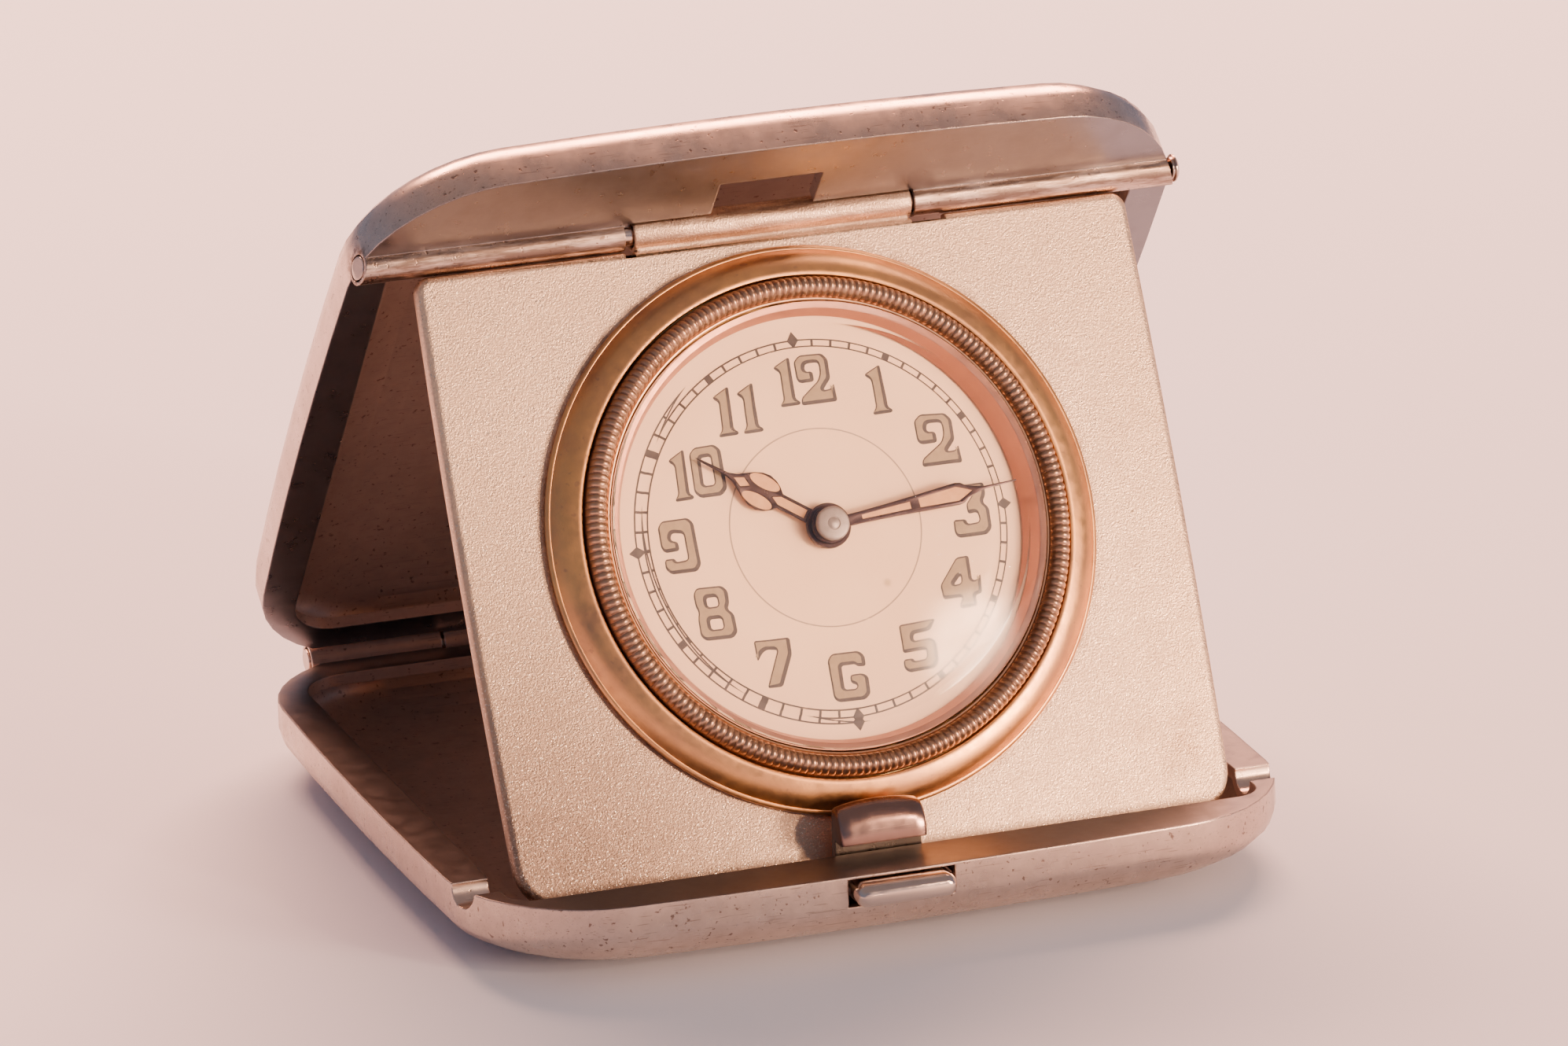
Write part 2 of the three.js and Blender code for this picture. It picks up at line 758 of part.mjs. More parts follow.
function clockPlate() {
  const stages = [
    [-half, plateEdgeRound / 2], [-half + plateEdgeRound / 3, 0], [half - plateEdgeRound, 0],
    [half - plateEdgeRound / 3, plateEdgeRound / 4], [half, plateEdgeRound],
  ];
  const rings = stages.map(([z, inset]) => atHeight(plateOutline(inset), z));
  const tabHalf = plateKnuckleHalf - knuckleGap;
  const tabFoot = -plateTop - plateEdgeRound - through;
  const tab = block(-tabHalf, tabHalf, tabFoot, -pinRadius, -half, half - plateEdgeRound / 3);
  const knuckle = rodAlongX(plateTubeRadius, -plateKnuckleHalf, plateKnuckleHalf, 0, 0);
  const bore = rodAlongX(boreRadius, -plateKnuckleHalf - through, plateKnuckleHalf + through, 0, 0);
  const hole = rodAlongZ(caseRadius + seat, dialOffset, -dialDrop, -through, through, ringSteps);
  const notches = plateNotchWidths.map((width, i) => {
    const [near, far] = [plateKnuckleHalf, plateKnuckleHalf + width];
    const ends = i === 0 ? [-far, -near] : [near, far];
    return block(...ends, -plateTop - plateNotchDepth, 0, -through, through);
  });
  return cut(join(loft(rings), tab, knuckle), bore, hole, ...notches);
}

// Clock front, drawn round the Z axis

function giltRing() {
  const foot = half + seat;
  const inner = bezelRadius + seat;
  const crest = (giltRingRadius + inner) / 2;
  const reach = giltRingRadius - crest;
  return turned([
    [giltRingRadius, foot],
    ...quarterArc([crest, foot + giltOuterWall], [reach, giltRingHeight - giltOuterWall], 0, 1),
    ...quarterArc([crest, foot + giltInnerWall], [reach, giltRingHeight - giltInnerWall], 1, 2).slice(1),
    [inner, foot + 3 * seat],
    [caseLipRadius + seat, foot + 3 * seat],
    [caseLipRadius + seat, foot],
  ]);
}

function milledBezel() {
  const crest = bezelMouth + bezelLip;
  const shoulder = bezelFoot + bezelWall;
  const shelf = crystalFoot + seat;
  return turned([
    [bezelRadius, bezelFoot],
    ...quarterArc([crest, shoulder], [bezelRadius - crest, bezelTop - shoulder], 0, 1),
    [bezelMouth, bezelTop - bezelLip / 2],
    [bezelMouth, shelf + bezelStep],
    [bezelMouth + bezelStep, shelf],
    [bezelMouth + bezelStep, bezelFoot],
  ]);
}

// A shallow dome with a bevel round it
function crystal() {
  const domeAt = (share) => [crystalFlatRadius * share, crystalTop - crystalDome * share * share];
  const top = [0, 0.5, 0.8, 1].map(domeAt);
  const underside = top.map(([radius, height]) => [radius, height - crystalThickness]);
  return turned([
    ...underside,
    [crystalRadius - crystalThickness, crystalFoot],
    [crystalRadius, crystalFoot],
    [crystalRadius, crystalFoot + crystalEdge],
    ...top.reverse(),
  ]);
}

const dialFront = dialBack + dialThickness;

function rehautRing() {
  const outer = bezelMouth + running;
  return turned([
    [outer, dialFront + running],
    [outer, crystalFoot - running],
    [outer - rehautTopWidth, crystalFoot - running],
    [outer - rehautTopWidth - rehautWidth, dialFront + running],
  ]);
}

function dial() {
  const hole = rodAlongZ(dialHole, 0, 0, dialBack - through, dialFront + through, tubeSteps);
  return cut(solid(rodAlongZ(dialRadius, 0, 0, dialBack, dialFront, ringSteps)), hole);
}

// A hand lies along +Y from its boss and is turned to its clock angle
function hand(side, reach, bossRadius, bore, low, clockAngle) {
  const high = low + handThickness;
  const mirrored = side.map(([x, y]) => [-x, y]).reverse();
  const blade = solid(extruded([...side, [0, reach], ...mirrored], low, high));
  const boss = solid(rodAlongZ(bossRadius, 0, 0, low, high, tubeSteps));
  const bored = cut(blade.add(boss), rodAlongZ(bore, 0, 0, low - through, high + through, tubeSteps));
  return meshGeometry(bored).rotateZ(-clockAngle * degrees);
}

function hourHand() {
  return hand(hourHandSide, hourHandLength, hourHandBoss, hourPipe + running, hourHandHeight, hourHandAngle);
}

function minuteHand() {
  return hand(
    minuteHandSide, minuteHandLength, minuteHandBoss, cannonPipe + running, minuteHandHeight, minuteHandAngle,
  );
}

const pipeTop = minuteHandHeight + handThickness + running;

function handCap() {
  const foot = pipeTop + running;
  const reach = [capRadius - capFlatRadius, capHeight - capEdge];
  return turned([
    [0, foot],
    [capRadius, foot],
    ...quarterArc([capFlatRadius, foot + capEdge], reach, 0, 1),
    [0, foot + capHeight],
  ], tubeSteps);
}

// Movement, drawn round the Z axis of the dial

const step = mainPlateBack - seat;
const throat = innerRadius - caseStep;
const origin = [0, 0];
const barrelAt = polar(origin, barrelTip + centrePinionTip + running, barrelDirection);
const thirdAt = polar(origin, centreWheelTip + thirdPinionTip + running, thirdDirection);
const fourthAt = polar(thirdAt, thirdWheelTip + fourthPinionTip + running, fourthDirection);
const escapeAt = polar(fourthAt, fourthWheelTip + escapePinionTip + running, escapeDirection);
const palletAt = polar(escapeAt, palletDistance, palletDirection);
const balanceAt = polar(palletAt, balanceDistance, balanceDirection);
const cockFootAt = polar(balanceAt, balanceRadius + cockFootGap, cockDirection);
const windingDistance = ratchetTip + crownWheelTip + running;
const crownWheelReach = barrelAt[0] + Math.sqrt(windingDistance ** 2 - barrelAt[1] ** 2);
const crownWheelAt = [crownWheelReach, 0];
const minuteWheelAt = polar(origin, cannonTip + minuteWheelTip + running, minuteWheelDirection);
const pillarsAt = pillarDirections.map((direction) => polar(origin, bridgeRadius - pillarInset, direction));
const stemPinionStart = crownWheelReach + crownWheelTip - stemPinionLap;
const arborFront = mainPlateFront - arborShortfall;
const arborBack = bridgeBack + arborShortfall + running;
const drumRadius = barrelTip - drumInset;

function movementCase() {
  const foot = half + seat / 2;
  const lip = foot + 2 * seat;
  const wall = turned([
    [caseLipRadius, foot], [caseLipRadius, lip], [innerRadius, lip], [innerRadius, step],
    [throat, step], [throat, caseBack], [caseRadius, caseBack], [caseRadius, foot],
  ], wheelSteps);
  const holeEnds = [throat - through, caseRadius + through];
  const stemHole = rodAlongX(stemRadius + pinClearance, ...holeEnds, 0, stemHeight, pinSteps);
  return cut(solid(wall), stemHole);
}

function caseBackCover() {
  const lip = throat - seat;
  const face = caseBack - seat / 2;
  const lipTop = caseBack + coverLipHeight;
  return turned([
    [0, coverBack], [caseRadius - coverBevel, coverBack], [caseRadius, coverBack + coverEdge], [caseRadius, face],
    [lip, face], [lip, lipTop], [lip - coverLip, lipTop], [lip - coverLip, face], [0, face],
  ], wheelSteps);
}

function pivotHoles(centres, radius = pivotHole) {
  return centres.map(([x, y]) => rodAlongZ(radius, x, y, bridgeBack - through, dialBack));
}

function mainPlate() {
  const disc = turned([
    [0, mainPlateBack], [mainPlateRadius, mainPlateBack], [mainPlateRadius, dialBack - seat],
    [mainPlateRimInner, dialBack - seat], [mainPlateRimInner, mainPlateFront], [0, mainPlateFront],
  ], wheelSteps);
  const stud = rodAlongZ(studRadius, ...minuteWheelAt, mainPlateFront - seat, dialBack - seat);
  const centreHole = rodAlongZ(arborRadius + pinClearance, 0, 0, mainPlateBack - through, through);
  const pivots = pivotHoles([thirdAt, fourthAt, escapeAt, palletAt, balanceAt]);
  const barrelHole = pivotHoles([barrelAt], arborRadius + pinClearance);
  return cut(join(disc, stud), centreHole, ...pivots, ...barrelHole);
}

function threeQuarterPlate() {
  const [low, high] = [bridgeBack - through, bridgeFront + through];
  const disc = rodAlongZ(bridgeRadius, 0, 0, bridgeBack, bridgeFront, wheelSteps);
  const balanceWell = rodAlongZ(balanceRadius + wellMargin, ...balanceAt, low, high, wheelSteps);
  const pastRim = polar(balanceAt, bridgeRadius, cockDirection);
  const cockWay = bar(balanceAt, pastRim, cockHalfWidth + wayMargin, low, high);
  const stemWayHalf = stemPinionTip + 2 * seat;
  const stemWayEnds = [stemPinionStart - 4 * seat, bridgeRadius + through];
  const stemWay = block(...stemWayEnds, -stemWayHalf, stemWayHalf, low, high);
  const pivots = pivotHoles([origin, thirdAt, fourthAt, escapeAt]);
  const barrelHole = pivotHoles([barrelAt], barrelArborRadius + seat);
  const screws = pivotHoles([...pillarsAt, crownWheelAt, clickPlace], screwHoleRadius);
  return cut(solid(disc), balanceWell, cockWay, stemWay, ...pivots, ...barrelHole, ...screws);
}

function pillar([x, y]) {
  return rodAlongZ(pillarRadius, x, y, bridgeFront + running, mainPlateBack - running, tubeSteps);
}

function headedScrew([x, y], headTop, shankLength, shankRadius, headRadius) {
  const headLow = headTop - screwHeadHeight;
  return join(
    rodAlongZ(shankRadius, x, y, headTop - screwHeadHeight / 2, headTop + shankLength),
    rodAlongZ(headRadius, x, y, headLow, headTop, tubeSteps),
  );
}

function pillarScrew(at) {
  return headedScrew(at, bridgeBack - running, bridgeFront - bridgeBack, screwShankRadius, screwHeadRadius);
}

function crownWheelScrew() {
  return headedScrew(
    crownWheelAt, ratchetBack - running, crownScrewLength, crownScrewShankRadius, crownScrewHeadRadius,
  );
}

function centreWheel() {
  const faces = [centreWheelBack, centreWheelFront];
  const wheel = toothedDisc(centreWheelTeeth, centreWheelTip, largeToothDepth, ...faces);
  const pinion = toothedDisc(centrePinionTeeth, centrePinionTip, largeToothDepth, pinionBack, pinionFront);
  const arbor = rodAlongZ(arborRadius, 0, 0, centreWheelBack - running, pipeTop - 2 * running);
  const pivot = rodAlongZ(pivotRadius, 0, 0, arborBack, centreWheelBack);
  return wheel.add(pinion).add(join(arbor, pivot));
}

// A pinion long enough to reach past both faces of the wheel that drives it
function trainPinion(teeth, tip, wheelBack, wheelFront) {
  return toothedDisc(teeth, tip, pinionToothDepth, wheelBack - running, wheelFront + running);
}

function onArbor(wheel, pinion) {
  const arbor = rodAlongZ(pivotRadius, 0, 0, arborBack, arborFront);
  return wheel.add(pinion).add(solid(arbor));
}

function trainWheel(tip, wheelBack, wheelFront, pinionTip, driverBack, driverFront) {
  const wheel = toothedDisc(trainWheelTeeth, tip, wheelToothDepth, wheelBack, wheelFront);
  return onArbor(wheel, trainPinion(trainPinionTeeth, pinionTip, driverBack, driverFront));
}

function thirdWheel() {
  const faces = [thirdWheelBack, thirdWheelFront];
  return trainWheel(thirdWheelTip, ...faces, thirdPinionTip, centreWheelBack, centreWheelFront);
}

function fourthWheel() {
  const faces = [fourthWheelBack, fourthWheelFront];
  return trainWheel(fourthWheelTip, ...faces, fourthPinionTip, thirdWheelBack, thirdWheelFront);
}

// Its teeth lean towards the pallets
function escapeWheel() {
  const root = escapeWheelTip - escapeToothDepth;
  const points = [];
  for (let i = 0; i < escapeTeeth; i += 1) {
    for (const [share, radius] of [[0, root], [0.55, root + running], [0.85, escapeWheelTip]]) {
      const angle = (2 * Math.PI * (i + share)) / escapeTeeth;
      points.push([radius * Math.cos(angle), radius * Math.sin(angle)]);
    }
  }
  const wheel = solid(extruded(points, thirdWheelBack, thirdWheelFront));
  return onArbor(wheel, trainPinion(escapePinionTeeth, escapePinionTip, fourthWheelBack, fourthWheelFront));
}

function palletFork() {
  const tips = [-palletSwing, palletSwing].map((swing) => (
    polar(escapeAt, escapeWheelTip + palletReach, palletDirection + swing)
  ));
  const horn = polar(palletAt, balanceDistance - hornGap, balanceDirection);
  const faces = [thirdWheelBack, thirdWheelFront];
  const levers = [...tips, horn].map((tip) => bar(palletAt, tip, leverHalfWidth, ...faces));
  const arbor = rodAlongZ(pivotRadius, ...palletAt, palletCockBack + running, arborFront);
  return join(...levers, arbor).translate([-palletAt[0], -palletAt[1], 0]);
}

function palletCock() {
  const foot = [palletAt[0], palletAt[1] - palletCockReach];
  const top = palletCockBack + palletCockThickness;
  const plate = bar(palletAt, foot, palletCockHalfWidth, palletCockBack, top);
  const post = rodAlongZ(palletPostRadius, ...foot, top - running, mainPlateBack - running);
  const hole = rodAlongZ(pivotHole, ...palletAt, palletCockBack - through, mainPlateBack - running);
  return cut(join(plate, post), hole);
}

function balanceWheel() {
  const inner = balanceRadius - balanceRim;
  const rim = turned([
    [inner, balanceBack], [balanceRadius, balanceBack], [balanceRadius, balanceFront], [inner, balanceFront],
  ], wheelSteps);
  const armReach = balanceRadius - balanceRim / 2;
  const [armBack, armFront] = [balanceBack + balanceArmInset, balanceFront - balanceArmInset];
  const arm = block(-armReach, armReach, -balanceArmHalf, balanceArmHalf, armBack, armFront);
  const staff = rodAlongZ(pivotRadius, 0, 0, arborBack, arborFront);
  const roller = rodAlongZ(rollerRadius, 0, 0, rollerBack, rollerBack + rollerThickness, tubeSteps);
  return join(rim, arm, staff, roller);
}

// A flat ribbon wound from one radius to another
function spiral(innerTurn, outerTurn, turns, ribbon, low, high) {
  const count = turns * turnSteps;
  const inside = [];
  const outside = [];
  for (let i = 0; i <= count; i += 1) {
    const radius = innerTurn + ((outerTurn - innerTurn) * i) / count;
    const direction = (2 * Math.PI * i) / turnSteps / degrees;
    inside.push(polar(origin, radius - ribbon / 2, direction));
    outside.push(polar(origin, radius + ribbon / 2, direction));
  }
  return extruded([...outside, ...inside.reverse()], low, high);
}

function hairspring() {
  const front = hairspringBack + hairspringRibbon;
  return spiral(hairspringInner, hairspringOuter, hairspringTurns, hairspringRibbon, hairspringBack, front);
}

function balanceCock() {
  const plate = bar(balanceAt, cockFootAt, cockHalfWidth, bridgeBack, bridgeFront - running);
  const post = rodAlongZ(cockPostRadius, ...cockFootAt, bridgeFront - 2 * running, mainPlateBack - running);
  const hole = rodAlongZ(pivotHole, ...balanceAt, bridgeBack - through, bridgeFront + through);
  return cut(join(plate, post), hole);
}

function barrel() {
  const inner = drumRadius - drumWall;
  const floorBack = drumFloor - drumPlate;
  const drum = turned([
    [drumBore, drumFloor], [drumRadius, drumFloor], [drumRadius, drumTop], [inner, drumTop],
    [inner, floorBack], [drumBore, floorBack],
  ], wheelSteps);
  const teethFront = drumTop + barrelToothHeight;
  const teeth = toothedDisc(barrelTeeth, barrelTip, largeToothDepth, drumTop, teethFront, drumRadius - seat);
  return solid(drum).add(teeth);
}

function barrelCover() {
  const radius = drumRadius - running;
  const front = drumTop - running;
  const back = front - barrelLidThickness;
  return turned([[drumBore, front], [radius, front], [radius, back], [drumBore, back]], wheelSteps);
}

function mainspring() {
  const outerTurn = drumRadius - mainspringMargin;
  const front = drumFloor - drumPlate - running;
  return spiral(mainspringInner, outerTurn, mainspringTurns, mainspringRibbon, drumTop + running, front);
}

function barrelArbor() {
  const body = rodAlongZ(barrelArborRadius, 0, 0, ratchetBack - running, mainPlateBack - running, tubeSteps);
  return join(body, rodAlongZ(arborRadius, 0, 0, mainPlateBack - running, arborFront));
}

function windingWheel(teeth, tip, bore) {
  return toothedDisc(teeth, tip, largeToothDepth, ratchetBack, bridgeBack - running, bore);
}

function ratchetWheel() {
  return windingWheel(ratchetTeeth, ratchetTip, ratchetBore);
}

function crownWheel() {
  return windingWheel(crownWheelTeeth, crownWheelTip, crownWheelBore);
}

function click() {
  const tip = polar(barrelAt, ratchetTip + clickStudRadius, clickDirection);
  const arm = bar(clickPlace, tip, clickArmHalf, ratchetBack, bridgeBack - running);
  const boss = rodAlongZ(clickBossRadius, ...clickPlace, ratchetBack, bridgeBack - running, tubeSteps);
  const stud = rodAlongZ(clickStudRadius, ...clickPlace, bridgeFront - seat, ratchetBack + running);
  return join(arm, boss, stud).translate([-clickPlace[0], -clickPlace[1], 0]);
}

const motionLow = mainPlateFront + motionGap;

function cannonPinion() {
  const pipe = rodAlongZ(cannonPipe, 0, 0, motionLow, pipeTop, tubeSteps);
  const teeth = toothedDisc(cannonTeeth, cannonTip, wheelToothDepth, motionLow, motionLow + cannonTeethHeight);
  const bore = rodAlongZ(arborRadius + running, 0, 0, motionLow - through, pipeTop + through);
  return cut(teeth.add(solid(pipe)), bore);
}

function minuteWheel() {
  const top = motionLow + minuteWheelHeight;
  const wheel = toothedDisc(minuteWheelTeeth, minuteWheelTip, wheelToothDepth, motionLow, top);
  const pinionTop = dialBack - 2 * motionGap;
  const pinion = toothedDisc(minutePinionTeeth, minutePinionTip, pinionToothDepth, top - running, pinionTop);
  const bore = rodAlongZ(studRadius + running, 0, 0, motionLow - through, dialBack + through);
  return cut(wheel.add(pinion), bore);
}

function hourWheel() {
  const top = dialBack - 2 * motionGap;
  const low = top - hourWheelHeight;
  const wheel = toothedDisc(hourWheelTeeth, hourWheelTip, wheelToothDepth, low, top);
  const pipe = rodAlongZ(hourPipe, 0, 0, low, hourHandHeight + handThickness, tubeSteps);
  const bore = rodAlongZ(cannonPipe + 2 * running, 0, 0, low - through, hourHandHeight + through, tubeSteps);
  return cut(wheel.add(solid(pipe)), bore);
}

const crownStart = caseRadius + crownGap;

function windingStem() {
  const pinion = toothedDisc(stemPinionTeeth, stemPinionTip, pinionToothDepth, 0, stemPinionLength);
  const turnedPinion = meshGeometry(pinion).rotateY(Math.PI / 2).translate(stemPinionStart, 0, stemHeight);
  const inner = stemPinionStart - stemEnd;
  return join(rodAlongX(stemRadius, inner, crownStart - running, 0, stemHeight, pinSteps), turnedPinion);
}

function windingCrown() {
  const ridgesEnd = crownLength - crownCap;
  const ridges = toothedDisc(crownRidges, crownRadius, crownRidgeDepth, 0, ridgesEnd);
  const cap = rodAlongZ(crownRadius - crownCapInset, 0, 0, ridgesEnd - running, crownLength, tubeSteps);
  return meshGeometry(ridges.add(solid(cap))).rotateY(Math.PI / 2).translate(crownStart, 0, stemHeight);
}

// Assembly

function placed(mesh, x, y, z = 0) {
  mesh.position.set(x, y, z);
  return mesh;
}

function baseAssembly() {
  const latch = new THREE.Group();
  latch.position.set(latchOffset, 0, 0);
  latch.add(
    piece('latch_tongue', latchTongue(), polishedSilver),
    piece('push_button', pushButton(), polishedSilver),
    piece('latch_spring', latchSpring(), steel),
    piece('spring_rivet_rear', springRivet(rivetsAt[0]), steel),
    piece('spring_rivet_front', springRivet(rivetsAt[1]), steel),
  );
  const group = new THREE.Group();
  group.add(
    piece('base_shell', baseShell(), silver),
    piece('case_hinge_pin', caseHingePin(), polishedSilver),
    latch,
  );
  return group;
}

function coverAssembly() {
  const turnedOver = new THREE.Group();
  turnedOver.rotation.y = Math.PI;
  turnedOver.add(
    piece('back_shell', backShell(), silver),
    piece('plate_hinge_pin', plateHingePin(), polishedSilver),
  );
  const group = new THREE.Group();
  group.rotation.x = -openAngle * degrees;
  group.add(turnedOver);
  return group;
}

function clockFront() {
  return [
    piece('gilt_ring', giltRing(), gilt),
    piece('milled_bezel', milledBezel(), gilt),
    piece('crystal', crystal(), glass),
    piece('rehaut_ring', rehautRing(), copper),
    piece('dial', dial(), dialPaint),
    piece('hour_hand', hourHand(), bluedSteel),
    piece('minute_hand', minuteHand(), bluedSteel),
    piece('hand_cap', handCap(), steel),
  ];
}

function movement() {
  const pieces = [
    piece('movement_case', movementCase(), brass),
    piece('case_back_cover', caseBackCover(), brass),
    piece('main_plate', mainPlate(), brass),
    piece('three_quarter_plate', threeQuarterPlate(), brass),
    piece('cannon_pinion', cannonPinion(), steel),
    placed(piece('minute_wheel', minuteWheel(), brass), ...minuteWheelAt),
    piece('hour_wheel', hourWheel(), brass),
    piece('centre_wheel', centreWheel(), brass),
    placed(piece('third_wheel', thirdWheel(), brass), ...thirdAt),
    placed(piece('fourth_wheel', fourthWheel(), brass), ...fourthAt),
    placed(piece('escape_wheel', escapeWheel(), brass), ...escapeAt),
    placed(piece('pallet_fork', palletFork(), steel), ...palletAt),
    piece('pallet_cock', palletCock(), brass),
    placed(piece('balance_wheel', balanceWheel(), brass), ...balanceAt),
    placed(piece('hairspring', hairspring(), bluedSteel), ...balanceAt),
    piece('balance_cock', balanceCock(), brass),
    placed(piece('barrel', barrel(), brass), ...barrelAt),
    placed(piece('barrel_cover', barrelCover(), brass), ...barrelAt),
    placed(piece('mainspring', mainspring(), bluedSteel), ...barrelAt),
    placed(piece('barrel_arbor', barrelArbor(), steel), ...barrelAt),
    placed(piece('ratchet_wheel', ratchetWheel(), steel), ...barrelAt),
    placed(piece('crown_wheel', crownWheel(), steel), ...crownWheelAt),
    piece('crown_wheel_screw', crownWheelScrew(), steel),
    placed(piece('click', click(), steel), ...clickPlace),
    piece('winding_stem', windingStem(), steel),
    piece('winding_crown', windingCrown(), gilt),
  ];
  pillarsAt.forEach((at, i) => {
    pieces.push(piece(`pillar_${i + 1}`, pillar(at), brass));
    pieces.push(piece(`pillar_screw_${i + 1}`, pillarScrew(at), steel));
  });
  return pieces;
}

function plateAssembly() {
  const clockwork = new THREE.Group();
  clockwork.position.set(dialOffset, -dialDrop, 0);
  clockwork.add(...clockFront(), ...movement());
  const group = new THREE.Group();
  group.rotation.x = plateSlope * degrees;
  const [hingeY, hingeZ] = polar([0, 0], hingeSpacing, 180 - openAngle);
  group.position.set(0, hingeY, hingeZ);
  group.add(piece('clock_plate', clockPlate(), silver), clockwork);
  return group;
}

const clock = new THREE.Group();
clock.add(baseAssembly(), coverAssembly(), plateAssembly());
clock.updateMatrixWorld(true);
const extent = new THREE.Box3().setFromObject(clock, true);
clock.position.set(-(extent.min.x + extent.max.x) / 2, -(extent.min.y + extent.max.y) / 2, -extent.min.z);

export default clock;
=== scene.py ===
"""Looks of the folding travel clock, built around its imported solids."""

import json
from math import cos, pi, radians, sin

import bmesh
import bpy
from mathutils import Matrix, Vector

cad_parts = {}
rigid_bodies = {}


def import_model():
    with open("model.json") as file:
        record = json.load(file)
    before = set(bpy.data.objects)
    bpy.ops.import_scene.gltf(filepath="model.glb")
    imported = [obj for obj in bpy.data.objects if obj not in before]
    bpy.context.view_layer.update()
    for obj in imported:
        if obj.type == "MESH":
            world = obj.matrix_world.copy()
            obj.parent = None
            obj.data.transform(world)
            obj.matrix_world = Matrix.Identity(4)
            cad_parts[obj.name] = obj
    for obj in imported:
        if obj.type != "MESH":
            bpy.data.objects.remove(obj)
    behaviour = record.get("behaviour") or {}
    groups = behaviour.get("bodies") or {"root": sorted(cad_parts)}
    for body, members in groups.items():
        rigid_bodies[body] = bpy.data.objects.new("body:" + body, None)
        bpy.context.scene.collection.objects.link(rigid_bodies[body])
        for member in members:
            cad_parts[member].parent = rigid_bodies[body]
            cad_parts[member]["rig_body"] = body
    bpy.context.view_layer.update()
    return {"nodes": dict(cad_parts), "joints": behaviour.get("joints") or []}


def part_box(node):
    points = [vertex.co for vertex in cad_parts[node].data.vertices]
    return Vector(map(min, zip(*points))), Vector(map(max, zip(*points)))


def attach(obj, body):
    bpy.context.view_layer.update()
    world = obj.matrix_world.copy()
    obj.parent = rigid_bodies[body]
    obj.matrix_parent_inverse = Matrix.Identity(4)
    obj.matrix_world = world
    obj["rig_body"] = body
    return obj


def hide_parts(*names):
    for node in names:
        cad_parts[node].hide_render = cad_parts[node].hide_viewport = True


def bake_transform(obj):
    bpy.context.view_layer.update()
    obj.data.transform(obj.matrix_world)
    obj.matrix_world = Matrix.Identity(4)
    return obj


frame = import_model()
joints = {joint["name"]: joint for joint in frame["joints"]}

MM = 0.001
ACROSS = Vector((1, 0, 0))
UPWARD = Vector((0, 0, 1))

# Limits for meshes: lengths in metres, an area in square metres, angles, and shares of facing
WELD = 1e-6
OUTLINE_WELD = 1e-4
RIM_REACH = 2.5e-3
LARGE_FACE = 2e-5
COPLANAR_ANGLE = radians(0.4)
SMOOTH_ANGLE = radians(38)
ROUNDED_ANGLE = radians(42)
CRYSTAL_SMOOTH_ANGLE = radians(50)
BEAD_SMOOTH_ANGLE = radians(60)
RIM_FACING = 0.995
CAVITY_FACING = 0.12

# The camera, in degrees, millimetres and pixels. It is placed from the middle of the case hinge.
PHOTO_WIDTH = 1994
SENSOR_WIDTH = 36.0
CAMERA_AZIMUTH = -19.499
CAMERA_ELEVATION = 18.172
CAMERA_ROLL = -1.385
CAMERA_ASIDE = 11.555
CAMERA_ABOVE = 7.160
CAMERA_DISTANCE = 712.362
FOCAL_PIXELS = 11589.4
CLIP_START = 0.05
CLIP_END = 20

# The stage, in metres: the floor, then each light's place, aim, size, watts and colour
FLOOR_HALF = 3.0
FLOOR_CELLS = 8
CLOCK_MIDDLE = (0.0, 0.0, 0.03)
BEHIND_CLOCK = (0.0, 0.12, 0.0)
LIGHTS = {
    "behind": ((0.10, 0.45, 0.49), BEHIND_CLOCK, (0.6, 0.24), 16.5, (1.0, 0.46, 0.29)),
    "front_right": ((0.35, -0.49, 0.11), CLOCK_MIDDLE, (0.12, 0.12), 4.6, (1.0, 0.64, 0.43)),
    "key": ((0.266, -0.512, 0.258), CLOCK_MIDDLE, (0.03, 0.03), 1.0, (1.0, 0.60, 0.38)),
    "right": ((0.62, 0.16, 0.10), CLOCK_MIDDLE, (0.3, 0.24), 0.25, (1.0, 0.48, 0.24)),
}
# The room's walls and ceiling, and the heights between which they blend: 0 is level, 1 is overhead
WALL_COLOUR = (0.23, 0.27, 0.38)
CEILING_COLOUR = (0.33, 0.27, 0.28)
WALL_TOP = 0.15
CEILING_START = 0.85

# Case pieces, in millimetres: how far edges are rounded, then the tongue, whose heights are above the table
SHELL_EDGE = 0.12
PLATE_EDGE = 0.1
PIN_EDGE = 0.1
NECK = 0.7
NOSE_UNDERSIDE = 7.45
NOSE_ARCH = 0.42
NOSE_ARCH_POWER = 2.2
NOSE_LEAN = 0.75
NOSE_STEPS = 12
NECK_FACES = 3
# Along the tongue from each end, and how far its end is drawn in there
TONGUE_ENDS = [(0.0, 0.24), (0.05, 0.13), (0.13, 0.05), (0.26, 0.0), (0.9, 0.0), (1.8, 0.0)]

# The push button, in millimetres: depths are measured forward from its back face
BUTTON_DEPTH = 2.6
BUTTON_STRAIGHT = 1.5
BUTTON_CROWN = 1.1
BUTTON_DRAWN_IN = 0.62
BUTTON_ANGLES = range(12, 85, 12)
SHANK_HALF = 1.95
SHANK_TOP = 0.2
SHANK_FOOT = -0.6
SHANK_SUNK = 0.1

